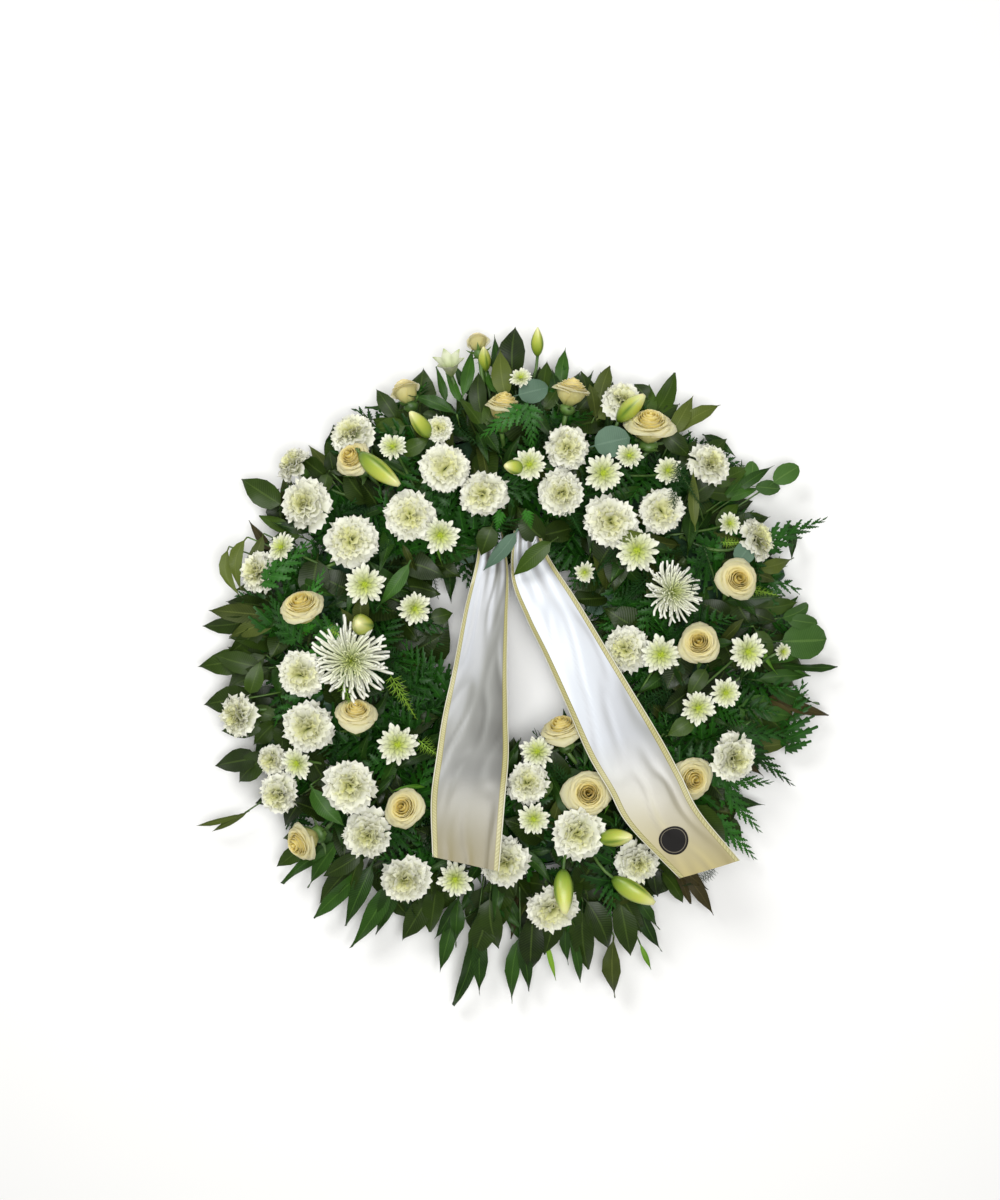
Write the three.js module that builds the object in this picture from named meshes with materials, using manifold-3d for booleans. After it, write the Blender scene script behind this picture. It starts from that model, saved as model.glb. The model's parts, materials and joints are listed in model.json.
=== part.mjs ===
// Memorial wreath lying on its tray: flowers and greenery pushed into a wet-foam ring.
// Millimetres. +Z is up, +Y is the top of the wreath as it is hung or read, +X its right.
import * as THREE from "three";
import { mergeVertices } from "three/addons/utils/BufferGeometryUtils.js";
import Module from "manifold-3d";

const wasm = await Module();
wasm.setup();

// ---- driving dimensions ----
const GAP = 0.35; // clearance between neighbouring pieces
const RING_MEAN = 250; // radius of the middle of the foam ring
const FOAM_WIDTH = 104;
const FOAM_TOP = 62; // height of the foam's crown above the surface
const FOAM_CROWN = 5; // how far the crown rises between its two top edges
const FOAM_SHOULDER = 22; // depth of the bevelled shoulders below the crown
const FOAM_BEVEL = 18; // width of the bevelled shoulders
const TRAY_WALL = 3;
const TRAY_HEIGHT = 22;
const TRAY_CLEARANCE = 3; // between the foam and the tray's walls
const TRAY_FLARE = 2; // the walls lean out by this much
const RING_SIDES = 40;
const MOUND_BASE = 38; // the flower heads stand on a mound around the ring
const MOUND_RISE = 92;
const MOUND_REACH = 175;
const STEM_CROWD = 0.26; // how far a flower's offset from the ring's middle carries to its stem's foot
const STEM_DEPTH = 30; // how deep a stem is pushed into the foam
const FORK_HEIGHT = 10; // a branched stem forks this far above the foam
const STEM_LAP = 3; // how far a branch runs into its fork, so that they join
const NECK_LAP = 5; // how far a stem runs into its head
const RIBBON_WIDTH = 90; // about the middle of a ribbon's length
const RIBBON_THICK = 0.9;
const SEAL_RADIUS = 20;
const SEAL_THICK = 0.8;
const SEAL_SINK = 0.5; // how far the seal's underside reaches into the bow of the ribbon
const TWIG_RADIUS = 318; // the greenery's twigs run round the outside of the tray
const TWIG_HEIGHT = 28;
const TWIG_THICK = 2;
const TWIG_ROOT = { radius: 285, height: 44 }; // where a twig's stub is pushed into the foam

// ---- layout: angles in degrees round the ring from +X, radii and heights in mm ----
// roses: angle, radius, lift above the mound, head radius, extra outward lean
const ROSES = [
  [97, 430, 4, 18, 12],
  [113, 385, 0, 25, 22],
  [93, 330, 0, 27, 8],
  [78, 360, 2, 26, 14],
  [59, 355, 2, 31, 0],
  [130, 340, -2, 30, 6],
  [169, 295, 2, 31, 4],
  [202, 235, 0, 28, -4],
  [235, 260, 0, 28, 8],
  [222, 390, 0, 30, 0],
  [18, 315, 2, 30, 4],
  [2, 250, 2, 31, 0],
  [324, 295, -14, 29, 0],
  [297, 218, -8, 29, 0],
  [300, 130, -4, 28, 0],
];

// carnations: each row is one stem with its heads: angle, radius, lift, head radius, extra lean
const CARNATIONS = [
  [[127, 375, 0, 28, 8], [140, 400, 0, 26, 14]],
  [[145, 352, 0, 33, 0], [163, 370, -2, 28, 12]],
  [[146, 270, 2, 34, 0]],
  [[128, 235, 0, 32, 0]],
  [[111, 268, 0, 32, 0], [109, 322, 2, 18, 0]],
  [[102, 220, 0, 32, 0]],
  [[76, 285, 2, 31, 0], [67, 375, -4, 27, 0]],
  [[74, 225, 0, 29, 0]],
  [[54, 220, 0, 33, 0], [44, 275, 0, 30, 0]],
  [[44, 370, 0, 28, 0], [25, 365, 0, 28, 30]],
  [[1, 152, -16, 30, 0]],
  [[334, 330, 0, 32, 8]],
  [[186, 293, 0, 32, 0], [200, 300, 0, 33, 0]],
  [[193, 392, 0, 30, 8], [211, 380, 0, 28, 0], [204, 368, -12, 22, 0]],
  [[219, 290, 2, 34, 0], [231, 320, 0, 32, 0]],
  [[244, 345, 0, 32, 0]],
  [[267, 288, -12, 32, 0], [278, 355, 0, 33, 0]],
  [[275, 180, -6, 26, 0]],
  [[289, 260, 2, 33, 0], [300, 335, -12, 27, 0]],
];

// spray daisies: each row is one branched stem, same columns
const DAISIES = [
  [[156, 350, 0, 21, 10], [156, 225, 4, 28, 0], [157, 152, -2, 23, 0]],
  [[121, 325, 8, 19, 0], [123, 190, 0, 26, 0]],
  [[86, 255, 6, 23, 0], [64, 270, 4, 27, 0], [60, 308, 0, 18, 0], [50, 322, 0, 19, 0]],
  [[40, 215, 2, 29, 0], [31, 340, 0, 16, 0], [49, 145, -6, 14, 0]],
  [[359, 198, 0, 26, 0], [360, 315, 2, 25, 0], [349, 290, 0, 21, 0], [343, 258, 4, 22, 0]],
  [[282, 142, -4, 23, 0], [276, 228, 2, 21, 0]],
  [[207, 335, 0, 22, 0], [218, 205, 0, 28, 0], [255, 320, 0, 24, 0]],
];

// spider chrysanthemums: one head a stem
const SPIDERS = [
  [183, 225, 0, 52, 0],
  [21, 225, 4, 40, 26],
];

// lily buds: rows of one stem each: angle, radius, lift, length, thickest radius, heading, elevation
const BUDS = [
  [[113, 335, 20, 52, 10, 135, 40], [127, 308, 22, 70, 11, 318, 12]],
  [[96, 408, 6, 46, 10, 95, 40], [103, 405, 8, 44, 12, 100, 50], [86, 432, 8, 38, 9, 92, 30], [91, 250, 18, 34, 9, 180, 45]],
  [[65, 368, 18, 54, 10, 48, 30]],
  [[170, 212, 14, 46, 13, 180, 80]],
  [[298, 285, 18, 48, 10, 5, 35], [281, 330, 24, 58, 11, 268, 18], [296, 365, 10, 62, 11, 326, 6]],
];

// ribbons: left and right edge, from the pinned end to the free end
const RIBBON_LEFT = {
  left: [[-52, 181, 80], [-54, 129, 94], [-71, 57, 96], [-86, -22, 104], [-100, -87, 120], [-108, -141, 138],
    [-115, -200, 151], [-113, -275, 154]],
  right: [[-20, 178, 76], [-10, 114, 86], [-11, 46, 90], [-12, -22, 98], [-11, -87, 114], [-10, -141, 134],
    [-15, -200, 150], [-23, -295, 152]],
};
const RIBBON_RIGHT = {
  left: [[-2, 180, 76], [-6, 104, 84], [14, 46, 88], [39, -6, 96], [68, -72, 118], [97, -139, 143],
    [124, -185, 152], [151, -233, 155], [220, -305, 150]],
  right: [[30, 178, 82], [44, 133, 96], [84, 71, 106], [125, 3, 122], [161, -57, 134], [196, -116, 148],
    [222, -165, 155], [247, -214, 158], [302, -280, 152]],
};
const SEAL_ALONG = 0.925; // how far down the right ribbon the seal sits
const SEAL_ACROSS = -0.105; // from -0.5 at its left edge to 0.5 at its right

// greenery: each node is one twig round the outside with its leaves
// leaves: kind, foot angle, tip angle, tip radius, tip height, half width, bow, roll
const GREENERY = {
  greenery_upper_left: [112, 164, [
    ["broad", 143, 148, 460, 34, 25, 10, 10],
    ["broad", 137, 138, 414, 40, 23, 8, -12],
    ["broad", 118, 118, 416, 46, 22, 10, 8],
    ["lance", 114, 112, 392, 50, 11, 12, 20],
    ["broad", 150, 153, 404, 30, 20, 8, 0],
    ["broad", 158, 163, 425, 26, 19, 8, -10],
    ["broad", 121, 121, 408, 88, 20, 12, 12],
    ["broad", 132, 133, 420, 78, 21, 12, -8],
    ["broad", 147, 149, 432, 74, 21, 14, 8],
    ["broad", 155, 155, 396, 92, 18, 10, -14],
    ["lance", 114, 108, 418, 76, 12, 14, 16],
  ]],
  greenery_top: [70, 106, [
    ["lance", 88, 90, 447, 48, 10, 10, 12],
    ["lance", 84, 84, 400, 50, 10, 12, -10],
    ["lance", 78, 77, 425, 46, 10, 10, 8],
    ["lance", 74, 72, 412, 40, 10, 10, 0],
    ["lance", 71, 69, 420, 34, 10, 8, 10],
    ["lance", 101, 103, 446, 36, 11, 8, -14],
    ["broad", 92, 93, 402, 84, 17, 14, 10],
    ["broad", 86, 87, 412, 82, 16, 16, -12],
    ["broad", 72, 72, 402, 80, 17, 12, 8],
    ["lance", 98, 90, 386, 104, 12, 12, 18],
  ]],
  greenery_upper_right: [30, 62, [
    ["round", 60, 60, 420, 44, 21, 8, 10],
    ["lance", 54, 52, 450, 46, 12, 14, 12],
    ["lance", 48, 46, 420, 50, 12, 14, -8],
    ["broad", 40, 39, 406, 40, 19, 8, 0],
    ["round", 34, 32, 460, 42, 19, 10, 12],
    ["broad", 52, 52, 412, 86, 19, 12, 10],
    ["broad", 38, 36, 420, 76, 19, 12, -10],
    ["lance", 57, 55, 402, 96, 12, 14, 0],
    ["lance", 32, 34, 404, 98, 12, 12, 14],
  ]],
  greenery_right: [348, 383, [
    ["fern", 380, 383, 466, 50, 22, 14, 8],
    ["fern", 382, 389, 436, 44, 18, 10, 0],
    ["fern", 376, 378, 420, 36, 17, 8, 6],
    ["round", 371, 369, 410, 60, 17, 4, 0],
    ["round", 365, 364, 404, 70, 19, 4, 10],
    ["lance", 357, 356, 456, 34, 11, 10, 10],
    ["lance", 354, 353, 432, 24, 11, 8, -12],
    ["lance", 350, 348, 432, 34, 11, 10, 8],
    ["broad", 375, 374, 404, 88, 18, 12, 10],
    ["broad", 362, 360, 408, 84, 18, 12, -8],
    ["broad", 352, 351, 400, 86, 19, 12, 8],
    ["lance", 368, 367, 388, 100, 12, 10, 14],
  ]],
  greenery_lower_right: [303, 340, [
    ["fern", 338, 340, 422, 46, 18, 10, 8],
    ["fern", 333, 334, 426, 34, 18, 10, -8],
    ["fern", 320, 318, 426, 34, 20, 12, 6],
    ["lance", 311, 308, 465, 34, 12, 10, 0],
    ["lance", 304, 302, 420, 28, 11, 8, 10],
    ["broad", 326, 325, 402, 82, 19, 12, 8],
    ["broad", 316, 315, 396, 86, 19, 12, -10],
    ["broad", 307, 306, 404, 80, 18, 12, 10],
    ["lance", 336, 340, 400, 92, 12, 12, 12],
  ]],
  greenery_bottom: [250, 296, [
    ["lance", 293, 296, 460, 26, 11, 8, 8],
    ["lance", 284, 285, 508, 38, 13, 12, 10],
    ["lance", 281, 281, 465, 24, 12, 8, -8],
    ["lance", 271, 271, 494, 40, 14, 14, 8],
    ["lance", 266, 266, 496, 24, 13, 10, -10],
    ["lance", 261, 261, 500, 34, 13, 12, 10],
    ["lance", 257, 256, 466, 22, 12, 8, 0],
    ["lance", 251, 249, 462, 26, 12, 8, 8],
    ["broad", 290, 290, 412, 82, 18, 14, 8],
    ["broad", 268, 268, 420, 76, 18, 14, -8],
    ["broad", 261, 260, 406, 84, 18, 14, 8],
    ["lance", 286, 285, 436, 74, 13, 14, 12],
    ["lance", 253, 253, 424, 78, 13, 14, -12],
    ["lance", 275, 275, 446, 66, 13, 14, 0],
  ]],
  greenery_lower_left: [180, 243, [
    ["lance", 241, 243, 486, 28, 12, 10, 8],
    ["lance", 236, 236, 486, 34, 12, 10, -8],
    ["lance", 232, 232, 446, 22, 12, 8, 0],
    ["broad", 222, 221, 450, 28, 17, 8, 8],
    ["lance", 210, 209, 515, 34, 8, 12, 10],
    ["lance", 213, 212, 500, 22, 8, 10, -10],
    ["broad", 204, 203, 455, 32, 18, 10, 0],
    ["broad", 192, 191, 442, 28, 24, 8, 10],
    ["broad", 184, 183, 440, 34, 24, 8, -8],
    ["lance", 181, 175, 432, 26, 12, 8, 6],
    ["broad", 238, 238, 412, 78, 18, 14, 8],
    ["broad", 230, 230, 408, 84, 18, 12, -10],
    ["broad", 217, 216, 426, 72, 18, 12, 10],
    ["broad", 200, 201, 424, 68, 19, 12, -8],
    ["broad", 186, 186, 412, 84, 20, 12, 10],
    ["broad", 181, 178, 404, 88, 19, 12, -10],
    ["lance", 183, 171, 420, 70, 12, 14, 12],
  ]],
};
// half widths of a leaf along its length, as shares of its widest
const LEAF_OUTLINES = {
  broad: [[0.25, 0.12], [0.45, 0.9], [0.7, 1], [0.9, 0.5]],
  lance: [[0.2, 0.15], [0.45, 0.9], [0.65, 1], [0.86, 0.5]],
  round: [[0.45, 0.1], [0.58, 0.85], [0.78, 1], [0.94, 0.6]],
  fern: [[0.12, 0.15], [0.35, 1], [0.6, 0.8], [0.85, 0.3]],
};
const LEAF_THICK = 1.1;

const COLOURS = {
  plastic: 0x1f3b24,
  foam: 0x3f6b46,
  satin: 0xe9e7e4,
  seal: 0x17171a,
  rose: 0xefe0b4,
  carnation: 0xf2f1df,
  daisy: 0xf4f4ec,
  spider: 0xf1f3e4,
  bud: 0xaebf4a,
  leaf: 0x2d5a24,
};

// ---- solids ----
function toSolid(geometry) {
  const bare = geometry.index ? geometry.toNonIndexed() : geometry.clone();
  bare.deleteAttribute("normal");
  bare.deleteAttribute("uv");
  const merged = mergeVertices(bare, 1e-3);
  const vertProperties = merged.attributes.position.array;
  const triVerts = new Uint32Array(merged.index.array);
  return new wasm.Manifold(new wasm.Mesh({ numProp: 3, vertProperties, triVerts }));
}

function toGeometry(solid) {
  const mesh = solid.getMesh();
  const geometry = new THREE.BufferGeometry();
  geometry.setAttribute("position", new THREE.BufferAttribute(new Float32Array(mesh.vertProperties), 3));
  geometry.setIndex(new THREE.BufferAttribute(new Uint32Array(mesh.triVerts), 1));
  geometry.computeVertexNormals();
  return geometry;
}

// Profile of [radius, height] pairs turned about Z.
function turned(profile, sides) {
  const points = profile.map(([r, z]) => new THREE.Vector2(r, z));
  return new THREE.LatheGeometry(points, sides).rotateX(Math.PI / 2);
}

// The same profile moved outwards by grow, square to its own edges.
function grown(profile, grow) {
  return profile.map(([r, z], i) => {
    const [r0, z0] = profile[Math.max(i - 1, 0)];
    const [r1, z1] = profile[Math.min(i + 1, profile.length - 1)];
    const length = Math.hypot(r1 - r0, z1 - z0);
    const sharp = 1.5 * grow; // a little more at the corners
    return [r > 0 ? r + (sharp * (z1 - z0)) / length : 0, z - (sharp * (r1 - r0)) / length];
  });
}

function tube(points, radius, steps, sides = 5) {
  const corners = [];
  for (let i = 0; i < sides; i++) {
    const a = (i / sides) * Math.PI * 2;
    corners.push(new THREE.Vector2(radius * Math.cos(a), radius * Math.sin(a)));
  }
  const path = points.length > 2 ? new THREE.CatmullRomCurve3(points) : new THREE.LineCurve3(...points);
  return toSolid(
    new THREE.ExtrudeGeometry(new THREE.Shape(corners), { steps, extrudePath: path, bevelEnabled: false }),
  );
}

function unionOf(solids) {
  return solids.reduce((all, one) => all.add(one));
}

// ---- positions ----
const radians = THREE.MathUtils.degToRad;

function polar(angle, radius, z) {
  return new THREE.Vector3(radius * Math.cos(radians(angle)), radius * Math.sin(radians(angle)), z);
}

function moundOffset(radius) {
  return THREE.MathUtils.clamp((radius - RING_MEAN) / MOUND_REACH, -0.97, 0.97);
}

function moundHeight(radius) {
  return MOUND_BASE + MOUND_RISE * Math.sqrt(1 - moundOffset(radius) ** 2);
}

// Direction a head at this place faces: square to the mound, plus its own lean.
function facing(angle, radius, lean) {
  const t = moundOffset(radius);
  const tilt = Math.atan2(t / MOUND_REACH, Math.sqrt(1 - t * t) / MOUND_RISE) + radians(lean);
  return polar(angle, Math.sin(tilt), Math.cos(tilt));
}

function placed(geometry, at, direction) {
  const turn = new THREE.Quaternion().setFromUnitVectors(new THREE.Vector3(0, 0, 1), direction);
  return geometry.applyQuaternion(turn).translate(at.x, at.y, at.z);
}

// Where the stem of a flower at this place is pushed into the foam.
function stemFoot(angle, radius) {
  return polar(angle, RING_MEAN + (radius - RING_MEAN) * STEM_CROWD, FOAM_TOP - STEM_DEPTH);
}

// One stem out of the foam; with several heads it forks just above the foam.
function stems(angle, radius, necks, thick) {
  const foot = stemFoot(angle, radius);
  if (necks.length === 1) return [tube([necks[0], foot], thick, 1)];
  const fork = foot.clone().setZ(FOAM_TOP + FORK_HEIGHT);
  const low = fork.clone().setZ(fork.z - STEM_LAP);
  return [tube([fork, foot], 1.2 * thick, 1), ...necks.map((neck) => tube([neck, low], thick, 1))];
}

// ---- flower heads: profiles of [radius, height] about the head's own axis, for a head of this radius ----
const HEADS = {
  rose: (r) => [[0, -0.95 * r], [0.35 * r, -0.85 * r], [0.85 * r, -0.2 * r], [r, 0.25 * r], [0.8 * r, 0.75 * r],
    [0, 0.85 * r]],
  carnation: (r) => [[0, -1.05 * r], [0.26 * r, -r], [0.3 * r, -0.4 * r], [r, 0.05 * r], [0.82 * r, 0.45 * r],
    [0, 0.72 * r]],
  daisy: (r) => [[0, -9], [4, -8], [r, -1], [r, 2.5], [0, 8]],
  spider: (r) => [[0, -22], [0.2 * r, -18], [r, -2], [0.9 * r, 10], [0.45 * r, 24], [0, 27]],
};
const HEAD_SIDES = { rose: 8, carnation: 9, daisy: 9, spider: 12 };
const STEM_RADIUS = { rose: 3, carnation: 2.5, daisy: 1.8, spider: 3, bud: 2.2 };

function middleOf(heads) {
  const sum = (k) => heads.reduce((total, head) => total + head[k], 0);
  return [sum(0) / heads.length, sum(1) / heads.length];
}

function flower(kind, heads, grow) {
  const solids = [];
  const necks = [];
  for (const [angle, radius, lift, size, lean] of heads) {
    const at = polar(angle, radius, moundHeight(radius) + lift);
    const direction = facing(angle, radius, lean);
    const profile = HEADS[kind](size);
    const head = turned(grown(profile, grow), HEAD_SIDES[kind]);
    solids.push(toSolid(placed(head, at, direction)));
    necks.push(at.clone().addScaledVector(direction, profile[0][1] + NECK_LAP));
  }
  return unionOf([...solids, ...stems(...middleOf(heads), necks, STEM_RADIUS[kind] + grow)]);
}

function budStem(buds, grow) {
  const solids = [];
  const necks = [];
  for (const [angle, radius, lift, length, size, heading, elevation] of buds) {
    const at = polar(angle, radius, moundHeight(radius) + lift);
    const direction = polar(heading, Math.cos(radians(elevation)), Math.sin(radians(elevation)));
    const half = length / 2;
    const profile = [[0, -half], [0.7 * size, -0.7 * half], [size, 0.1 * half], [0.6 * size, 0.8 * half], [0, half]];
    solids.push(toSolid(placed(turned(grown(profile, grow), 6), at, direction)));
    necks.push(at.clone().addScaledVector(direction, NECK_LAP - half));
  }
  return unionOf([...solids, ...stems(...middleOf(buds), necks, STEM_RADIUS.bud + grow)]);
}

// A thin leaf from its foot to its tip, bowed upwards, its midrib raised.
function leaf(kind, foot, tip, halfWidth, bow, roll, grow) {
  const span = tip.clone().sub(foot);
  const length = span.length();
  const profile = LEAF_OUTLINES[kind].map(([t, w]) => [w * halfWidth + grow, t * length]);
  profile.unshift([0, -grow]);
  profile.push([0, length + grow]);
  const blade = turned(profile, 4);
  const along = span.clone().normalize();
  const side = new THREE.Vector3(0, 0, 1).cross(along).normalize().applyAxisAngle(along, radians(roll));
  const up = along.clone().cross(side);
  const basis = new THREE.Matrix4().makeBasis(side, up, along).setPosition(foot);
  const position = blade.attributes.position;
  for (let i = 0; i < position.count; i++) {
    const t = THREE.MathUtils.clamp(position.getZ(i) / length, 0, 1);
    const thick = (LEAF_THICK + 2 * grow) / 2;
    const y = Math.sign(position.getY(i)) * Math.min(Math.abs(position.getY(i)), thick);
    position.setXYZ(i, position.getX(i), y + 4 * bow * t * (1 - t), position.getZ(i));
  }
  return toSolid(blade.applyMatrix4(basis));
}

function greenery([start, end, leaves], grow) {
  const twig = [];
  for (let i = 0; i <= 4; i++) twig.push(polar(start + ((end - start) * i) / 4, TWIG_RADIUS, TWIG_HEIGHT));
  const middle = (start + end) / 2;
  const stub = [polar(middle, TWIG_RADIUS, TWIG_HEIGHT), polar(middle, TWIG_ROOT.radius, TWIG_ROOT.height)];
  const solids = [tube(twig, TWIG_THICK + grow, 8), tube(stub, TWIG_THICK + grow, 1)];
  for (const [kind, footAngle, tipAngle, tipRadius, tipHeight, halfWidth, bow, roll] of leaves) {
    const foot = polar(footAngle, TWIG_RADIUS, TWIG_HEIGHT);
    solids.push(leaf(kind, foot, polar(tipAngle, tipRadius, tipHeight), halfWidth, bow, roll, grow));
  }
  return unionOf(solids);
}

// ---- ribbons and seal ----
function rail(points) {
  return new THREE.CatmullRomCurve3(points.map(([x, y, z]) => new THREE.Vector3(x, y, z)));
}

// Point and normal of a ribbon, across from -0.5 to 0.5 and along from 0 to 1.
function onRibbon(ribbon, across, along) {
  const left = ribbon.leftRail.getPoint(along);
  const right = ribbon.rightRail.getPoint(along);
  const ahead = ribbon.leftRail.getTangent(along).add(ribbon.rightRail.getTangent(along)).normalize();
  const point = left.clone().lerp(right, across + 0.5);
  const normal = right.sub(left).cross(ahead).normalize();
  return { point, normal: normal.z < 0 ? normal.negate() : normal };
}

function ribbonSolid(ribbon, grow) {
  const strip = new THREE.BoxGeometry(1, 1, 1, 2, 12, 1);
  const position = strip.attributes.position;
  for (let i = 0; i < position.count; i++) {
    const x = position.getX(i);
    const along = 0.5 - position.getY(i);
    const { point, normal } = onRibbon(ribbon, x * (1 + (2 * grow) / RIBBON_WIDTH), along);
    point.addScaledVector(normal, position.getZ(i) * (RIBBON_THICK + 2 * grow));
    position.setXYZ(i, point.x, point.y, point.z);
  }
  return toSolid(strip);
}

for (const ribbon of [RIBBON_LEFT, RIBBON_RIGHT]) {
  ribbon.leftRail = rail(ribbon.left);
  ribbon.rightRail = rail(ribbon.right);
}

function sealSolid(grow) {
  const { point, normal } = onRibbon(RIBBON_RIGHT, SEAL_ACROSS, SEAL_ALONG);
  const low = RIBBON_THICK / 2 - SEAL_SINK - grow;
  const high = RIBBON_THICK / 2 + GAP + SEAL_THICK + grow;
  const disc = [[0, low], [SEAL_RADIUS + grow, low], [SEAL_RADIUS + grow, high], [0, high]];
  return toSolid(placed(turned(disc, 20), point, normal));
}

// ---- assembly: each piece is cut clear of the pieces before it ----
const pieces = [];

function boxesMeet(a, b) {
  const p = a.boundingBox();
  const q = b.boundingBox();
  return [0, 1, 2].every((i) => p.min[i] <= q.max[i] && q.min[i] <= p.max[i]);
}

function largest(solid) {
  return solid.decompose().sort((a, b) => b.volume() - a.volume())[0];
}

function addPiece(name, colour, make) {
  let body = make(0);
  for (const piece of pieces) {
    if (boxesMeet(body, piece.fat)) body = body.subtract(piece.fat);
  }
  body = toSolid(toGeometry(largest(body))); // vertices the cuts left almost together are merged
  pieces.push({ name, colour, body: largest(body), fat: make(GAP) });
}

addPiece("ribbon_left", COLOURS.satin, (grow) => ribbonSolid(RIBBON_LEFT, grow));
addPiece("ribbon_right", COLOURS.satin, (grow) => ribbonSolid(RIBBON_RIGHT, grow));
addPiece("round_seal", COLOURS.seal, sealSolid);
const kinds = [
  ["lily_buds", COLOURS.bud, BUDS, budStem],
  ["spider_chrysanthemum", COLOURS.spider, SPIDERS, (heads, grow) => flower("spider", heads, grow)],
  ["rose", COLOURS.rose, ROSES, (heads, grow) => flower("rose", heads, grow)],
  ["spray_daisy", COLOURS.daisy, DAISIES, (heads, grow) => flower("daisy", heads, grow)],
  ["carnation", COLOURS.carnation, CARNATIONS, (heads, grow) => flower("carnation", heads, grow)],
];
for (const [kind, colour, rows, make] of kinds) {
  rows.forEach((row, i) => {
    const heads = Array.isArray(row[0]) ? row : [row];
    addPiece(`${kind}_${String(i + 1).padStart(2, "0")}`, colour, (grow) => make(heads, grow));
  });
}
for (const [name, plan] of Object.entries(GREENERY)) addPiece(name, COLOURS.leaf, (grow) => greenery(plan, grow));

const half = FOAM_WIDTH / 2;
const inner = RING_MEAN - half;
const outer = RING_MEAN + half;
const foamBottom = TRAY_WALL + GAP;
const foamEdge = FOAM_TOP - FOAM_CROWN;
const foamShoulder = FOAM_TOP - FOAM_SHOULDER;
addPiece("foam_ring", COLOURS.foam, () => {
  const section = [[inner, foamBottom], [outer, foamBottom], [outer, foamShoulder], [outer - FOAM_BEVEL, foamEdge],
    [RING_MEAN, FOAM_TOP], [inner + FOAM_BEVEL, foamEdge], [inner, foamShoulder], [inner, foamBottom]];
  return toSolid(turned(section, RING_SIDES));
});
addPiece("base_tray", COLOURS.plastic, () => {
  const reach = half + TRAY_CLEARANCE;
  const low = RING_MEAN - reach;
  const high = RING_MEAN + reach;
  const section = [[low - TRAY_WALL, 0], [high + TRAY_WALL, 0], [high + TRAY_WALL + TRAY_FLARE, TRAY_HEIGHT],
    [high + TRAY_FLARE, TRAY_HEIGHT], [high, TRAY_WALL], [low, TRAY_WALL], [low - TRAY_FLARE, TRAY_HEIGHT],
    [low - TRAY_WALL - TRAY_FLARE, TRAY_HEIGHT], [low - TRAY_WALL, 0]];
  return toSolid(turned(section, RING_SIDES));
});

const wreath = new THREE.Group();
wreath.name = "memorial_wreath";
for (const { name, colour, body } of pieces) {
  const mesh = new THREE.Mesh(toGeometry(body), new THREE.MeshStandardMaterial({ color: colour, roughness: 0.7 }));
  mesh.name = name;
  wreath.add(mesh);
}

// The origin is the middle of the wreath's footprint, on the surface it lies on.
const box = new THREE.Box3().setFromObject(wreath);
const middle = box.getCenter(new THREE.Vector3());
for (const mesh of wreath.children) mesh.geometry.translate(-middle.x, -middle.y, -box.min.z);

export default wreath;
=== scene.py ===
import json
import math
import random
from functools import partial

import bpy
import numpy as np
from mathutils import Matrix, Vector, noise

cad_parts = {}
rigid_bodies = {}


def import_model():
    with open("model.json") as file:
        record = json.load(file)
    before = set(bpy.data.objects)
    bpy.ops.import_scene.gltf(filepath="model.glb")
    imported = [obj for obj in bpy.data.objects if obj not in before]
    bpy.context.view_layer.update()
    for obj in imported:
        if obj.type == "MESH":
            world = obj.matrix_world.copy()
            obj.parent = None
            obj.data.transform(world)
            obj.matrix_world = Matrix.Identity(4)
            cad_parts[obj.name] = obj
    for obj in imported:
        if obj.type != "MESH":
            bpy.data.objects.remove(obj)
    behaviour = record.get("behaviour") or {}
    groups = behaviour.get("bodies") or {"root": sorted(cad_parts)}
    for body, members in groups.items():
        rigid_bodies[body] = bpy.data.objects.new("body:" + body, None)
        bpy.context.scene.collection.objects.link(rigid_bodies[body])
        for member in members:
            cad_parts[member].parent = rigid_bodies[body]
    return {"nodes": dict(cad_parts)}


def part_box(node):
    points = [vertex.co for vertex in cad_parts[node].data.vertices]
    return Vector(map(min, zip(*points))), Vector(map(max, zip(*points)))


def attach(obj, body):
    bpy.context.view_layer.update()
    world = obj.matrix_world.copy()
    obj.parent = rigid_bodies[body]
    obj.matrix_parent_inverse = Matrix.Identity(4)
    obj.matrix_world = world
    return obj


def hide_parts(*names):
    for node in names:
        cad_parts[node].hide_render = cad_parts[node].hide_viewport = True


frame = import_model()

# Memorial wreath lying face up on its tray: cut flowers and greenery in a ring of wet foam, and two ribbons.
# Plans are in millimetres and in degrees round the ring from +X, and polar() turns them into places.
mm = 0.001
goldenAngle = math.pi * (3 - math.sqrt(5))
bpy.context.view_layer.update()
scene = bpy.context.scene
trayLow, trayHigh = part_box("base_tray")
ringCentre = (trayLow + trayHigh) / 2
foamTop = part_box("foam_ring")[1].z / mm
# The bed of flowers is rounded over the ring. Stems gather towards its middle and sink into the foam.
mound = {"mean": 250, "base": 38, "rise": 92, "reach": 175, "edge": 0.97, "crowd": 0.26, "sink": 28}


def polar(angle, radius, height):
    a = math.radians(angle)
    x, y = ringCentre.x + radius * mm * math.cos(a), ringCentre.y + radius * mm * math.sin(a)
    return Vector((x, y, height * mm))


def moundOffset(radius):
    return max(-mound["edge"], min(mound["edge"], (radius - mound["mean"]) / mound["reach"]))


def moundHeight(radius):
    return mound["base"] + mound["rise"] * math.sqrt(1 - moundOffset(radius) ** 2)


def facing(angle, radius, lean):  # the way a head at this place looks
    t = moundOffset(radius)
    tilt = math.atan2(t / mound["reach"], math.sqrt(1 - t * t) / mound["rise"]) + math.radians(lean)
    a = math.radians(angle)
    return Vector((math.sin(tilt) * math.cos(a), math.sin(tilt) * math.sin(a), math.cos(tilt)))


def stemFoot(angle, radius):
    return polar(angle, mound["mean"] + (radius - mound["mean"]) * mound["crowd"], foamTop - mound["sink"])


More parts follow.
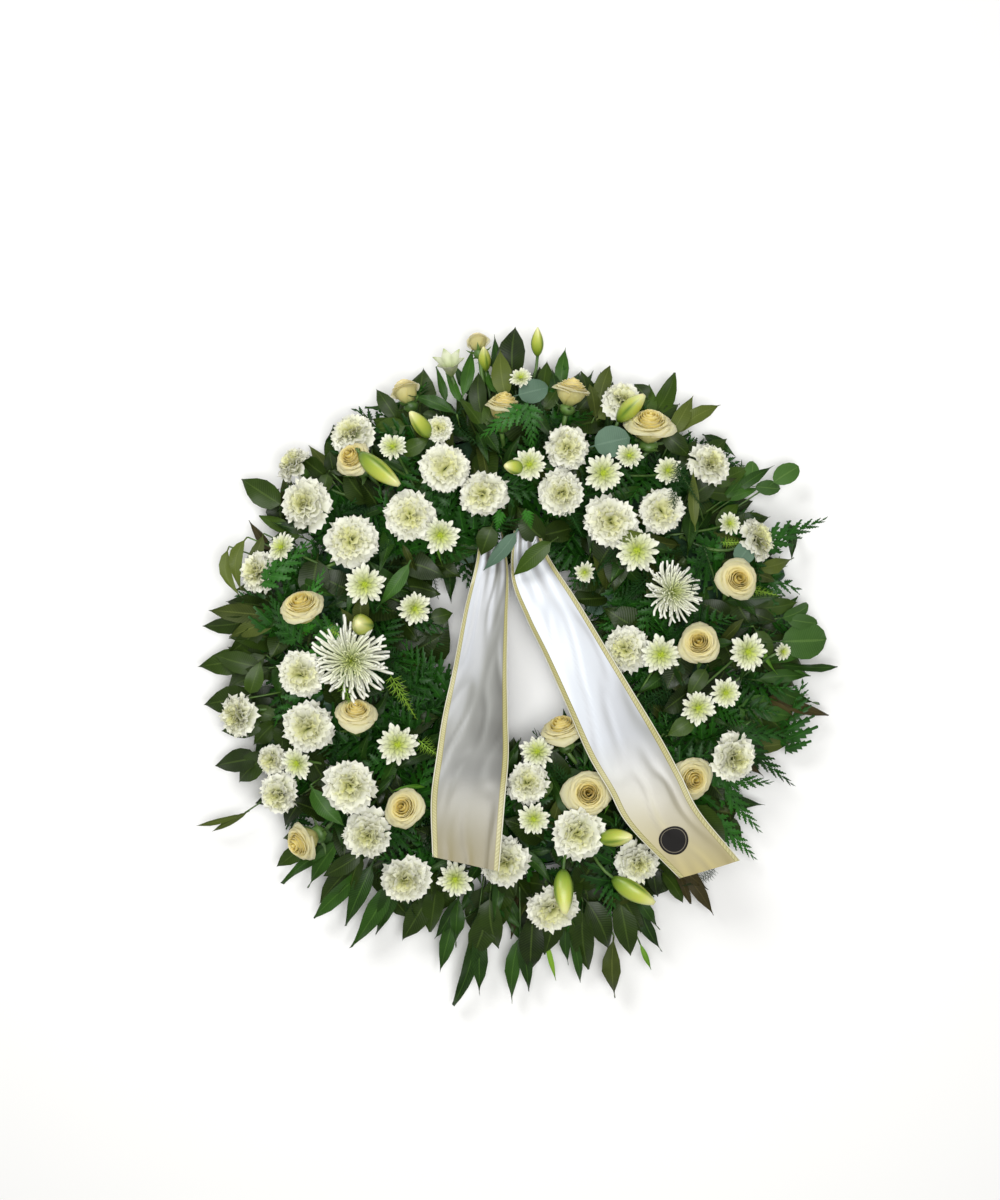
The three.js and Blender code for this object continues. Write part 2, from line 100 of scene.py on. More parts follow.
# Meshes are held as arrays, so that thousands of petals join quickly. The channels become attributes:
# along and across a petal or leaf, its own tone, its rank from the heart outwards, and 1 on its underside.
channels = ("along", "across", "tone", "rank", "under")
rimAngle = math.radians(100)  # sharper edges, such as the rims of thin petals and leaves, stay sharp


def shapeFrom(points, faces, paint=0, **values):
    points = np.asarray(points, float).reshape(-1, 3)
    shape = {
        "points": points,
        "corners": np.concatenate([np.asarray(f, int) for f in faces]),
        "sizes": np.array([len(f) for f in faces], int),
        "paint": np.full(len(faces), paint, int),
    }
    for channel in channels:
        value = np.asarray(values.get(channel, 0.0), float)
        shape[channel] = np.broadcast_to(value, (len(points),)).copy()
    return shape


def shapeOfMesh(mesh):
    points = np.empty(len(mesh.vertices) * 3)
    corners = np.empty(len(mesh.loops), int)
    sizes = np.empty(len(mesh.polygons), int)
    mesh.vertices.foreach_get("co", points)
    mesh.loops.foreach_get("vertex_index", corners)
    mesh.polygons.foreach_get("loop_total", sizes)
    shape = {"points": points.reshape(-1, 3), "corners": corners, "sizes": sizes}
    shape["paint"] = np.zeros(len(sizes), int)
    for channel in channels:
        shape[channel] = np.zeros(len(mesh.vertices))
        if channel in mesh.attributes:
            mesh.attributes[channel].data.foreach_get("value", shape[channel])
    return shape


def joined(shapes):
    starts = np.cumsum([0] + [len(shape["points"]) for shape in shapes])
    keys = ("points", "sizes", "paint") + channels
    result = {key: np.concatenate([shape[key] for shape in shapes]) for key in keys}
    result["corners"] = np.concatenate([shape["corners"] + start for shape, start in zip(shapes, starts)])
    return result


def moved(shape, matrix, paint=None, toneShift=0.0):
    m = np.array(matrix)
    result = dict(shape)
    result["points"] = shape["points"] @ m[:3, :3].T + m[:3, 3]
    result["tone"] = np.clip(shape["tone"] + toneShift, 0, 1)
    if paint is not None:
        result["paint"] = np.full(len(shape["sizes"]), paint, int)
    return result


def meshFrom(name, shape, materials=()):
    mesh = bpy.data.meshes.new(name)
    mesh.vertices.add(len(shape["points"]))
    mesh.vertices.foreach_set("co", shape["points"].astype(np.float32).ravel())
    mesh.loops.add(len(shape["corners"]))
    mesh.loops.foreach_set("vertex_index", shape["corners"].astype(np.int32))
    starts = np.concatenate([[0], np.cumsum(shape["sizes"])[:-1]])
    mesh.polygons.add(len(shape["sizes"]))
    mesh.polygons.foreach_set("loop_start", starts.astype(np.int32))
    for material in materials:
        mesh.materials.append(material)
    mesh.polygons.foreach_set("material_index", shape["paint"].astype(np.int32))
    mesh.update(calc_edges=True)
    mesh.validate()
    mesh.shade_smooth()
    mesh.set_sharp_from_angle(angle=rimAngle)
    for channel in channels:
        attribute = mesh.attributes.new(channel, "FLOAT", "POINT")
        attribute.data.foreach_set("value", shape[channel].astype(np.float32))
    return mesh


def addPiece(name, shape, materials, slot, node):
    piece = bpy.data.objects.new(name, meshFrom(name, shape, materials))
    scene.collection.objects.link(piece)
    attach(piece, "root")
    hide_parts(node)
    return piece


def thinShape(across, alongs, place, thick, paint=0):
    # place(u, t) gives a point; u runs -1 to 1 across, t 0 to 1 along; the two skins share one rim
    us = np.linspace(-1, 1, across + 1)
    ts = np.asarray(alongs, float)
    points = np.array([[place(u, t) for u in us] for t in ts], float)
    normal = np.cross(np.gradient(points, axis=0), np.gradient(points, axis=1))
    normal /= np.maximum(np.linalg.norm(normal, axis=2, keepdims=True), 1e-12)
    rows, columns = points.shape[:2]
    inner = np.zeros((rows, columns), bool)
    inner[1:-1, 1:-1] = True
    top = np.arange(rows * columns).reshape(rows, columns)
    under = top.copy()
    under[inner] = rows * columns + np.arange(inner.sum())
    faces = []
    for j in range(rows - 1):
        for i in range(columns - 1):
            faces.append((top[j, i], top[j + 1, i], top[j + 1, i + 1], top[j, i + 1]))
            faces.append((under[j, i], under[j, i + 1], under[j + 1, i + 1], under[j + 1, i]))
    along = np.repeat(ts[:, None], columns, 1)
    across = np.repeat(us[None, :], rows, 0)
    return shapeFrom(
        np.concatenate([points.reshape(-1, 3), (points - normal * thick)[inner]]), faces, paint,
        along=np.concatenate([along.ravel(), along[inner]]),
        across=np.concatenate([across.ravel(), across[inner]]),
        under=np.concatenate([np.where(inner, 0.0, 0.5).ravel(), np.ones(inner.sum())]),
    )


def loftShape(rings, paint=0, **values):  # rings of points, each joined to the next, both ends closed
    sides = len(rings[0])
    faces = [tuple(range(sides))[::-1]]
    for k in range(len(rings) - 1):
        for i in range(sides):
            a, b = k * sides + i, k * sides + (i + 1) % sides
            faces.append((a, b, b + sides, a + sides))
    last = (len(rings) - 1) * sides
    faces.append(tuple(range(last, last + sides)))
    values.setdefault("along", np.repeat(np.linspace(0, 1, len(rings)), sides))
    return shapeFrom([p for ring in rings for p in ring], faces, paint, **values)


def turnedShape(profile, sides, paint=0):  # profile of (radius, height) from the bottom up
    turns = [2 * math.pi * i / sides for i in range(sides)]
    return loftShape([[(r * math.cos(a), r * math.sin(a), h) for a in turns] for r, h in profile], paint)


def tubeShape(path, radii, sides, paint=0):
    path = [Vector(p) for p in path]
    side = Vector((0, 0, 1)).cross(path[-1] - path[0])
    if side.length < 1e-6:
        side = Vector((1, 0, 0))
    rings = []
    for k, at in enumerate(path):
        ahead = (path[min(k + 1, len(path) - 1)] - path[max(k - 1, 0)]).normalized()
        side = (side - ahead * side.dot(ahead)).normalized()
        up = ahead.cross(side)
        radius = radii[k] if hasattr(radii, "__len__") else radii
        turns = [2 * math.pi * i / sides for i in range(sides)]
        rings.append([at + radius * (math.cos(a) * side + math.sin(a) * up) for a in turns])
    return loftShape(rings, paint)


def arcPath(start, startWay, end, steps):  # leaves start along startWay and reaches end
    middle = start + startWay
    shares = np.linspace(0, 1, steps + 1)
    return [(1 - s) ** 2 * start + 2 * s * (1 - s) * middle + s * s * end for s in shares]


def linear(hexColour):  # sRGB hex to the linear values that a socket wants
    result = []
    for i in (1, 3, 5):
        c = int(hexColour[i:i + 2], 16) / 255
        result.append(c / 12.92 if c <= 0.04045 else ((c + 0.055) / 1.055) ** 2.4)
    return (*result, 1.0)


def addNode(tree, kind, inputs=None, give=0, stops=(), **settings):
    # inputs are values or other nodes' outputs, stops a colour ramp's, and give is the output handed back
    node = tree.nodes.new(kind)
    for name, value in settings.items():
        setattr(node, name, value)
    for key, value in (inputs or {}).items():
        for source in value if isinstance(value, list) else [value]:
            if isinstance(source, bpy.types.NodeSocket):
                tree.links.new(source, node.inputs[key])
            else:
                node.inputs[key].default_value = source
    for _ in stops[2:]:
        node.color_ramp.elements.new(1.0)
    for i, (position, hexColour) in enumerate(stops):
        node.color_ramp.elements[i].position = position
        node.color_ramp.elements[i].color = linear(hexColour)
    return node.outputs[give] if node.outputs else node


def newMaterial(name, nodes, look=None):
    # nodes adds what gives the material its look, and returns the inputs of its shader
    material = bpy.data.materials.new(name)
    material.use_nodes = True
    material.node_tree.nodes.clear()
    add = partial(addNode, material.node_tree)
    shader = add("ShaderNodeBsdfPrincipled", nodes(add, look))
    add("ShaderNodeOutputMaterial", {"Surface": shader})
    return material


mixed = {"give": 2, "data_type": "RGBA"}  # a Mix node for colours: input 0 is the factor, 6 and 7 the colours
tinted = dict(mixed, blend_type="MULTIPLY")

petalLooks = {
    # stops from the petal's foot to its tip, tint of the heart, how tightly it keeps to the heart, and glow
    "carnation petal": {
        # the dark olive foot is partly the petal's green claw and partly painted shade deep in the head
        "stops": [(0.0, "#7c8a48"), (0.34, "#bcc48c"), (0.62, "#dfe0c0"), (1.0, "#f6f6ea")],
        "heart": "#eeeeb4", "reach": 2.4},
    "rose petal": {
        "stops": [(0.0, "#b0ba60"), (0.28, "#e8da7c"), (0.75, "#f2e596"), (1.0, "#f7eeb8")],
        "heart": "#ffeeb0", "reach": 1.5, "glow": 0.6},
    "daisy ray petal": {
        "stops": [(0.0, "#9cb43c"), (0.26, "#c8d286"), (0.5, "#dfe2be"), (1.0, "#f4f4e8")],
        "heart": "#d2de74", "reach": 2.0},
    "spider mum petal": {
        "stops": [(0.0, "#a0b450"), (0.25, "#cfd8a8"), (0.5, "#e4e6d0"), (1.0, "#f4f4ea")],
        "heart": "#d6e08a", "reach": 2.4},
    "lily tepal": {
        "stops": [(0.0, "#7c9640"), (0.4, "#ccd6a4"), (0.8, "#dfe4c6"), (1.0, "#a4b868")],
        "heart": "#e8efc0", "reach": 2.0},
}


def petalNodes(add, look):
    # living petal: thin wet cells with no gloss, so edges are bright and folds soft; the colour turns greener
    # and darker towards each petal's foot, partly its own green base and partly painted shade in the depths
    # of the head
    along, tone, rank = (
        add("ShaderNodeAttribute", give="Fac", attribute_name=name) for name in ("along", "tone", "rank"))
    body = add("ShaderNodeValToRGB", {"Fac": along}, stops=look["stops"])
    heart = add("ShaderNodeMath", {0: 1.0, 1: rank}, operation="SUBTRACT")
    heart = add("ShaderNodeMath", {0: heart, 1: look["reach"]}, operation="POWER")
    warm = add("ShaderNodeMix", {0: heart, 6: body, 7: linear(look["heart"])}, **tinted)
    shade = add("ShaderNodeMath", {0: tone, 1: 0.14, 2: 0.86}, operation="MULTIPLY_ADD")
    toned = add("ShaderNodeHueSaturation", {"Value": shade, "Color": warm})
    place = add("ShaderNodeTexCoord", give="Object")
    veins = add("ShaderNodeTexNoise", {"Scale": 420.0, "Detail": 2.0, "Vector": place})  # cells of about 2 mm
    return {
        "Base Color": toned, "Roughness": 0.6, "IOR": 1.42, "Specular IOR Level": 0.3,
        "Normal": add("ShaderNodeBump", {"Strength": 0.25, "Distance": 0.0006, "Height": veins}),
        "Subsurface Weight": look.get("glow", 0.2), "Subsurface Scale": 0.007,
        "Subsurface Radius": (1.0, 0.95, 0.75)}


leafLooks = {
    # dark and light blade, rib, underside, roughness of the blade, weight of its waxy coat
    "salal leaf": ("#0f1b05", "#3a5410", "#5c7430", "#5a6e34", 0.42, 0.1),
    "ruscus leaf": ("#112806", "#38621a", "#5b8234", "#4f7230", 0.45, 0.08),
    "olive green leaf": ("#2b360f", "#5c6a28", "#76823f", "#6a7644", 0.5, 0.03),
    "browning leaf": ("#2a250e", "#524a26", "#665c34", "#585030", 0.55, 0.0),
    "blue eucalyptus leaf": ("#33493c", "#5f7c66", "#76907c", "#728c7a", 0.55, 0.0),
    "green eucalyptus leaf": ("#203a16", "#456c2a", "#6f9048", "#647f46", 0.45, 0.05),
    "leather fern frond": ("#0d2c06", "#317418", "#46902a", "#356a22", 0.4, 0.12),
    "tree fern plume": ("#091e08", "#1d4617", "#28561f", "#24461a", 0.55, 0.0),
    "lime filler leaf": ("#3c7016", "#88b236", "#a6c84c", "#88aa46", 0.5, 0.0),
}


def leafNodes(add, look):
    # living leaf: waxy upper face with a soft highlight, paler matt underside, raised midrib and side veins
    dark, light, rib, underside, roughness, wax = look
    along, across, tone, under = (
        add("ShaderNodeAttribute", give="Fac", attribute_name=name)
        for name in ("along", "across", "tone", "under"))
    place = add("ShaderNodeTexCoord", give="Object")
    mottle = add("ShaderNodeTexNoise", {"Scale": 45.0, "Detail": 3.0, "Vector": place})  # about 20 mm
    # tone mixes dark and light blade: it varies at random per leaf, and is painted shade where the planting
    # gives low tones
    shade = add("ShaderNodeMath", {0: tone, 1: 0.9, 2: -0.22}, operation="MULTIPLY_ADD")
    shade = add("ShaderNodeMath", {0: mottle, 1: 0.5, 2: shade}, operation="MULTIPLY_ADD", use_clamp=True)
    body = add("ShaderNodeMix", {0: shade, 6: linear(dark), 7: linear(light)}, **mixed)
    fromRib = add("ShaderNodeMath", {0: across}, operation="ABSOLUTE")
    midrib = add("ShaderNodeMath", {0: fromRib, 1: 0.07}, operation="LESS_THAN")
    # side veins run forwards from the midrib, one to each twelfth of the blade
    slant = add("ShaderNodeMath", {0: along, 1: 75.0}, operation="MULTIPLY")
    slant = add("ShaderNodeMath", {0: fromRib, 1: -9.0, 2: slant}, operation="MULTIPLY_ADD")
    wave = add("ShaderNodeMath", {0: slant}, operation="SINE")
    vein = add("ShaderNodeMath", {0: wave, 1: 6.0}, operation="POWER")
    lines = add("ShaderNodeMath", {0: midrib, 1: 3.0, 2: vein}, operation="MULTIPLY_ADD")
    lines = add("ShaderNodeMath", {0: lines, 1: 0.1}, operation="MULTIPLY")
    veined = add("ShaderNodeMix", {0: lines, 6: body, 7: linear(rib)}, **mixed)
    below = add("ShaderNodeMath", {0: under, 1: 0.75}, operation="GREATER_THAN")
    height = add("ShaderNodeMath", {0: vein, 1: -0.4, 2: midrib}, operation="MULTIPLY_ADD")
    return {
        "Base Color": add("ShaderNodeMix", {0: below, 6: veined, 7: linear(underside)}, **mixed),
        "Normal": add("ShaderNodeBump", {"Strength": 0.5, "Distance": 0.0008, "Height": height}),
        "Roughness": roughness, "IOR": 1.45, "Specular IOR Level": 0.25,
        "Coat Weight": wax, "Coat Roughness": 0.3}


# Each has one colour, or stops of colour through patches or along the piece. Some have a grain: its pattern's
# kind and settings, and the strength and depth of its bump.
plainLooks = {
    # disc florets of a daisy: matt, packed and pollen-dusted, lime green with a yellower crown
    "daisy disc floret": {
        "stops": [(0.0, "#5f7a18"), (0.6, "#a6bd28"), (1.0, "#d6e04c")], "shader": {"Roughness": 0.7}},
    # green stem and calyx: smooth skin under a slight bloom, so its highlight is broad, in patches of 15 mm
    "green stem skin": {
        "stops": [(0.3, "#33521c"), (0.7, "#5c7d36")], "patches": {"Scale": 60.0, "Detail": 2.0},
        "shader": {"Roughness": 0.5, "Coat Weight": 0.1, "Coat Roughness": 0.4}},
    # lily bud: smooth turgid skin, yellow green and paler to the tip, with a greener rib down each tepal
    "lily bud skin": {
        "stops": [(0.0, "#4e6e1c"), (0.25, "#8ba230"), (0.7, "#bcc552"), (1.0, "#e0dfa0")], "rib": "#54741c",
        "grain": ("Noise", {"Scale": 500.0}, 0.15, 0.0005),  # 2 mm
        "shader": {"Roughness": 0.4, "Coat Weight": 0.15, "Coat Roughness": 0.3,
                   "Subsurface Weight": 0.12, "Subsurface Scale": 0.004}},
    # injection-moulded polypropylene: dark green with a fine satin grain that blurs its highlight
    "moulded green polypropylene": {
        "colour": "#17301c", "grain": ("Noise", {"Scale": 900.0, "Detail": 2.0}, 0.2, 0.0004),  # 1 mm
        "shader": {"Roughness": 0.45, "IOR": 1.49}},
    # soaked phenolic foam: open cells about 1 mm across, dark, damp and without shine
    "wet phenolic foam": {
        "stops": [(0.3, "#16301a"), (0.7, "#2c4d32")], "patches": {"Scale": 25.0, "Detail": 3.0},
        "grain": ("Voronoi", {"Scale": 700.0}, 0.6, 0.001), "shader": {"Roughness": 0.85, "IOR": 1.4}},
    # matt paper roll: no highlight, only a soft shadow
    "pale studio paper": {"colour": "#fbfbfa", "shader": {"Roughness": 0.9}},
}


def plainNodes(add, look):
    values = dict(look["shader"])
    if "patches" in look or "grain" in look:
        place = add("ShaderNodeTexCoord", give="Object")
    if "colour" in look:
        values["Base Color"] = linear(look["colour"])
    elif "patches" in look:
        patches = add("ShaderNodeTexNoise", {**look["patches"], "Vector": place})
        values["Base Color"] = add("ShaderNodeValToRGB", {"Fac": patches}, stops=look["stops"])
    else:
        along = add("ShaderNodeAttribute", give="Fac", attribute_name="along")
        values["Base Color"] = add("ShaderNodeValToRGB", {"Fac": along}, stops=look["stops"])
    if "rib" in look:
        rib = add("ShaderNodeAttribute", give="Fac", attribute_name="across")
        ribbed = {0: rib, 6: values["Base Color"], 7: linear(look["rib"])}
        values["Base Color"] = add("ShaderNodeMix", ribbed, **mixed)
    if "grain" in look:
        kind, pattern, strength, depth = look["grain"]
        grain = add("ShaderNodeTex" + kind, {**pattern, "Vector": place})
        values["Normal"] = add("ShaderNodeBump", {"Strength": strength, "Distance": depth, "Height": grain})
    return values


satinLook = {
    # painted sheen and shade: the satin's colour from a fold turned from the light to one turned to it
    "sheen": [(0.0, "#6e6e6a"), (0.3, "#949591"), (0.62, "#b8bbc0"), (0.86, "#d8dde4"), (1.0, "#f2f6fb")],
    # cream is a painted warm reflection on the free end; gilt, giltLight and selvedge are the weave's own
    # colours
    "cream": "#e0ca78", "gilt": "#8a8248", "giltLight": "#bdb883", "selvedge": "#c9c7b2",
    "stripe": (0.83, 0.85, 0.95, 0.97),  # where rim, band, rim and selvedge start, from 0 at the middle to 1
}


def satinNodes(add, look):
    # acetate satin: warp floats on the face; its sheen and shade are painted into the colour by the tone
    # channel, from grey where a fold turns from the light to a bright streak where it turns to it; a woven
    # gilt stripe of 6 mm runs inside each selvedge
    along, across, tone, warm = (
        add("ShaderNodeAttribute", give="Fac", attribute_name=name)
        for name in ("along", "across", "tone", "rank"))
    # the satin's sheen and shade are painted into its colour from the tone channel
    body = add("ShaderNodeValToRGB", {"Fac": tone}, stops=look["sheen"])
    # painted warm reflection: the rank channel tints the free end cream
    painted = add("ShaderNodeMix", {0: warm, 6: body, 7: linear(look["cream"])}, **tinted)
    edge = add("ShaderNodeMath", {0: across}, operation="ABSOLUTE")
    # slanted ticks of 4 mm in the gilt and a weft of 1 mm, both coarser than real, so that they show
    ticks = add("ShaderNodeMath", {0: along, 1: 780.0}, operation="MULTIPLY")
    ticks = add("ShaderNodeMath", {0: edge, 1: 60.0, 2: ticks}, operation="MULTIPLY_ADD")
    ticks = add("ShaderNodeMath", {0: ticks}, operation="SINE")
    ticks = add("ShaderNodeMath", {0: ticks, 1: 0.25, 2: 0.7}, operation="MULTIPLY_ADD")
    gilt = linear(look["gilt"])
    band = add("ShaderNodeMix", {0: ticks, 6: gilt, 7: linear(look["giltLight"])}, **mixed)
    for start, paint in zip(look["stripe"], (gilt, band, gilt, linear(look["selvedge"]))):
        beyond = add("ShaderNodeMath", {0: edge, 1: start}, operation="GREATER_THAN")
        painted = add("ShaderNodeMix", {0: beyond, 6: painted, 7: paint}, **mixed)
    weft = add("ShaderNodeMath", {0: along, 1: 3000.0}, operation="MULTIPLY")
    weft = add("ShaderNodeMath", {0: weft}, operation="SINE")
    return {
        "Base Color": painted, "Roughness": 0.32, "IOR": 1.46, "Specular IOR Level": 0.5,
        "Normal": add("ShaderNodeBump", {"Strength": 0.06, "Distance": 0.0002, "Height": weft})}


sealLook = {"paper": "#161413", "line": "#9a927c", "lineAt": 0.84, "lineHalf": 0.022, "lineShow": 0.55}


def sealNodes(add, look):
    # coated black paper: dense print, hardly any shine, one thin pale ring near the rim
    fromMiddle = add("ShaderNodeAttribute", give="Fac", attribute_name="along")
    away = add("ShaderNodeMath", {0: fromMiddle, 1: look["lineAt"]}, operation="SUBTRACT")
    away = add("ShaderNodeMath", {0: away}, operation="ABSOLUTE")
    near = add("ShaderNodeMath", {0: away, 1: look["lineHalf"]}, operation="LESS_THAN")
    near = add("ShaderNodeMath", {0: near, 1: look["lineShow"]}, operation="MULTIPLY")
    colour = add("ShaderNodeMix", {0: near, 6: linear(look["paper"]), 7: linear(look["line"])}, **mixed)
    return {"Base Color": colour, "Roughness": 0.6, "Specular IOR Level": 0.2}


petals = {name: newMaterial(name, petalNodes, look) for name, look in petalLooks.items()}
leaves = {name: newMaterial(name, leafNodes, look) for name, look in leafLooks.items()}
plain = {name: newMaterial(name, plainNodes, look) for name, look in plainLooks.items()}
disc = plain["daisy disc floret"]
greenStem = plain["green stem skin"]
satin = newMaterial("white acetate satin", satinNodes, satinLook)
sealPaper = newMaterial("coated black paper", sealNodes, sealLook)
print("materials made")


def newTree(name, inputs):
    tree = bpy.data.node_groups.new(name, "GeometryNodeTree")
    tree.interface.new_socket("Geometry", in_out="OUTPUT", socket_type="NodeSocketGeometry")
    for label, kind in inputs.items():
        tree.interface.new_socket(label, in_out="INPUT", socket_type="NodeSocket" + kind)
    group = addNode(tree, "NodeGroupInput").node
    return tree, {label: group.outputs[label] for label in inputs}, partial(addNode, tree)


def placeCopies(add, shapes, points, pick, turn, size, marks):
    # one of the collection's shapes on each point; marks are the values that each copy carries into its mesh
    source = add("GeometryNodeCollectionInfo", {
        "Collection": shapes, "Separate Children": True, "Reset Children": True})
    copies = add("GeometryNodeInstanceOnPoints", {
        "Points": points, "Instance": source, "Pick Instance": True, "Instance Index": pick,
        "Rotation": turn, "Scale": size})
    for name, kind, value in marks:
        values = {"Geometry": copies, "Name": name, "Value": value}
        copies = add("GeometryNodeStoreNamedAttribute", values, data_type=kind, domain="INSTANCE")
    return add("GeometryNodeRealizeInstances", {"Geometry": copies})


def pickVariant(add, given, chance):
    last = add("ShaderNodeMath", {0: given["Variants"], 1: 1.0}, operation="SUBTRACT")
    return add("FunctionNodeRandomValue", {4: 0, 5: last, **chance}, give=2, data_type="INT")


def whorlTree():
    # petals or florets set round an axis in a golden-angle spiral, from the heart outwards
    tree, given, add = newTree("petal whorl", {
        "Petals": "Collection", "Variants": "Int", "Count": "Int", "Disc radius": "Float",
        "Disc rise": "Float", "Inner elevation": "Float", "Outer elevation": "Float", "Inner size": "Float",
        "Outer size": "Float", "Ease": "Float", "Twist": "Float", "Jitter": "Float", "Seed": "Int",
        "Material": "Material"})
    index = add("GeometryNodeInputIndex")
    chance = {"ID": index, "Seed": given["Seed"]}
    share = add("ShaderNodeMath", {0: index, 1: 0.5}, operation="ADD")
    share = add("ShaderNodeMath", {0: share, 1: given["Count"]}, operation="DIVIDE")
    eased = add("ShaderNodeMath", {0: share, 1: given["Ease"]}, operation="POWER")
    angle = add("ShaderNodeMath", {0: index, 1: goldenAngle}, operation="MULTIPLY")
    reach = add("ShaderNodeMath", {0: share}, operation="SQRT")
    radius = add("ShaderNodeMath", {0: reach, 1: given["Disc radius"]}, operation="MULTIPLY")
    fall = add("ShaderNodeMath", {0: 1.0, 1: share}, operation="SUBTRACT")
    fall = add("ShaderNodeMath", {0: fall}, operation="SQRT")
    rise = add("ShaderNodeMath", {0: fall, 1: given["Disc rise"]}, operation="MULTIPLY")
    base = add("ShaderNodeCombineXYZ", {"X": radius, "Z": rise})
    place = add("ShaderNodeVectorRotate", {"Vector": base, "Angle": angle}, rotation_type="Z_AXIS")
    points = add("GeometryNodePoints", {"Count": given["Count"], "Position": place})
    shake = {0: (-1.0, -1.0, -1.0), 1: (1.0, 1.0, 1.0), **chance}
    shake = add("FunctionNodeRandomValue", shake, data_type="FLOAT_VECTOR")
    swing = add("ShaderNodeMath", {0: given["Jitter"], 1: 0.8}, operation="MULTIPLY")
    amount = add("ShaderNodeCombineXYZ", {"X": given["Twist"], "Y": given["Jitter"], "Z": swing})
    lift = {"Value": eased, 3: given["Inner elevation"], 4: given["Outer elevation"]}
    lift = add("ShaderNodeMapRange", lift)
    lift = add("ShaderNodeMath", {0: lift, 1: -1.0}, operation="MULTIPLY")
    turn = add("ShaderNodeCombineXYZ", {"Y": lift, "Z": angle})
    turn = add("ShaderNodeVectorMath", {0: shake, 1: amount, 2: turn}, operation="MULTIPLY_ADD")
    turn = add("FunctionNodeEulerToRotation", {"Euler": turn})
    size = add("ShaderNodeMapRange", {"Value": eased, 3: given["Inner size"], 4: given["Outer size"]})
    vary = add("FunctionNodeRandomValue", {2: 0.88, 3: 1.1, **chance}, give=1)
    size = add("ShaderNodeMath", {0: size, 1: vary}, operation="MULTIPLY")
    tone = add("FunctionNodeRandomValue", {2: 0.0, 3: 1.0, **chance}, give=1)
    marks = [("tone", "FLOAT", tone), ("rank", "FLOAT", share)]
    real = placeCopies(add, given["Petals"], points, pickVariant(add, given, chance), turn, size, marks)
    painted = add("GeometryNodeSetMaterial", {"Geometry": real, "Material": given["Material"]})
    add("NodeGroupOutput", {0: painted})
    return tree


def bowAt(add, given, share):  # height of a stalk's bow at this share of its length
    left = add("ShaderNodeMath", {0: 1.0, 1: share}, operation="SUBTRACT")
    arch = add("ShaderNodeMath", {0: share, 1: left}, operation="MULTIPLY")
    arch = add("ShaderNodeMath", {0: arch, 1: given["Bow"]}, operation="MULTIPLY")
    return add("ShaderNodeMath", {0: arch, 1: 4.0}, operation="MULTIPLY")


def frondTree():
    # leaflets in pairs along a bowed stalk, shorter towards the tip and at the very foot
    tree, given, add = newTree("frond", {
        "Leaflets": "Collection", "Variants": "Int", "Pairs": "Int", "Length": "Float", "Bow": "Float",
        "Leaflet size": "Float", "Sweep": "Float", "Stalk radius": "Float", "Seed": "Int",
        "Material": "Material"})
    index = add("GeometryNodeInputIndex")
    chance = {"ID": index, "Seed": given["Seed"]}
    count = add("ShaderNodeMath", {0: given["Pairs"], 1: 2.0}, operation="MULTIPLY")
    share = add("ShaderNodeMath", {0: index, 1: 1.0}, operation="ADD")
    share = add("ShaderNodeMath", {0: share, 1: count}, operation="DIVIDE")
    side = add("ShaderNodeMath", {0: index, 1: 2.0}, operation="MODULO")
    side = add("ShaderNodeMath", {0: side, 1: 2.0, 2: -1.0}, operation="MULTIPLY_ADD")
    ahead = add("ShaderNodeMath", {0: share, 1: given["Length"]}, operation="MULTIPLY")
    place = add("ShaderNodeCombineXYZ", {"X": ahead, "Z": bowAt(add, given, share)})
    points = add("GeometryNodePoints", {"Count": count, "Position": place})
    sweep = add("ShaderNodeMapRange", {"Value": share, 3: given["Sweep"], 4: 0.5})
    sweep = add("ShaderNodeMath", {0: sweep, 1: side}, operation="MULTIPLY")
    roll = add("ShaderNodeMath", {0: side, 1: -0.2}, operation="MULTIPLY")
    nod = add("FunctionNodeRandomValue", {2: -0.16, 3: 0.16, **chance}, give=1)
    turn = add("ShaderNodeCombineXYZ", {"X": roll, "Y": nod, "Z": sweep})
    turn = add("FunctionNodeEulerToRotation", {"Euler": turn})
    taper = add("ShaderNodeMapRange", {"Value": share, 3: 1.05, 4: 0.16})
    young = add("ShaderNodeMapRange", {"Value": share, 1: 0.0, 2: 0.2, 3: 0.55, 4: 1.0})
    size = add("ShaderNodeMath", {0: taper, 1: young}, operation="MULTIPLY")
    size = add("ShaderNodeMath", {0: size, 1: given["Leaflet size"]}, operation="MULTIPLY")
    real = placeCopies(add, given["Leaflets"], points, pickVariant(add, given, chance), turn, size, [])
    end = add("ShaderNodeCombineXYZ", {"X": given["Length"]})
    line = add("GeometryNodeCurvePrimitiveLine", {"End": end})
    line = add("GeometryNodeResampleCurve", {"Curve": line, "Count": 8})
    way = add("GeometryNodeSplineParameter", give="Factor")
    offset = add("ShaderNodeCombineXYZ", {"Z": bowAt(add, given, way)})
    line = add("GeometryNodeSetPosition", {"Geometry": line, "Offset": offset})
    ring = add("GeometryNodeCurvePrimitiveCircle", {"Resolution": 4, "Radius": given["Stalk radius"]})
    stalk = add("GeometryNodeCurveToMesh", {"Curve": line, "Profile Curve": ring, "Fill Caps": True})
    both = add("GeometryNodeJoinGeometry", {0: [real, stalk]})
    painted = add("GeometryNodeSetMaterial", {"Geometry": both, "Material": given["Material"]})
    add("NodeGroupOutput", {0: painted})
    return tree


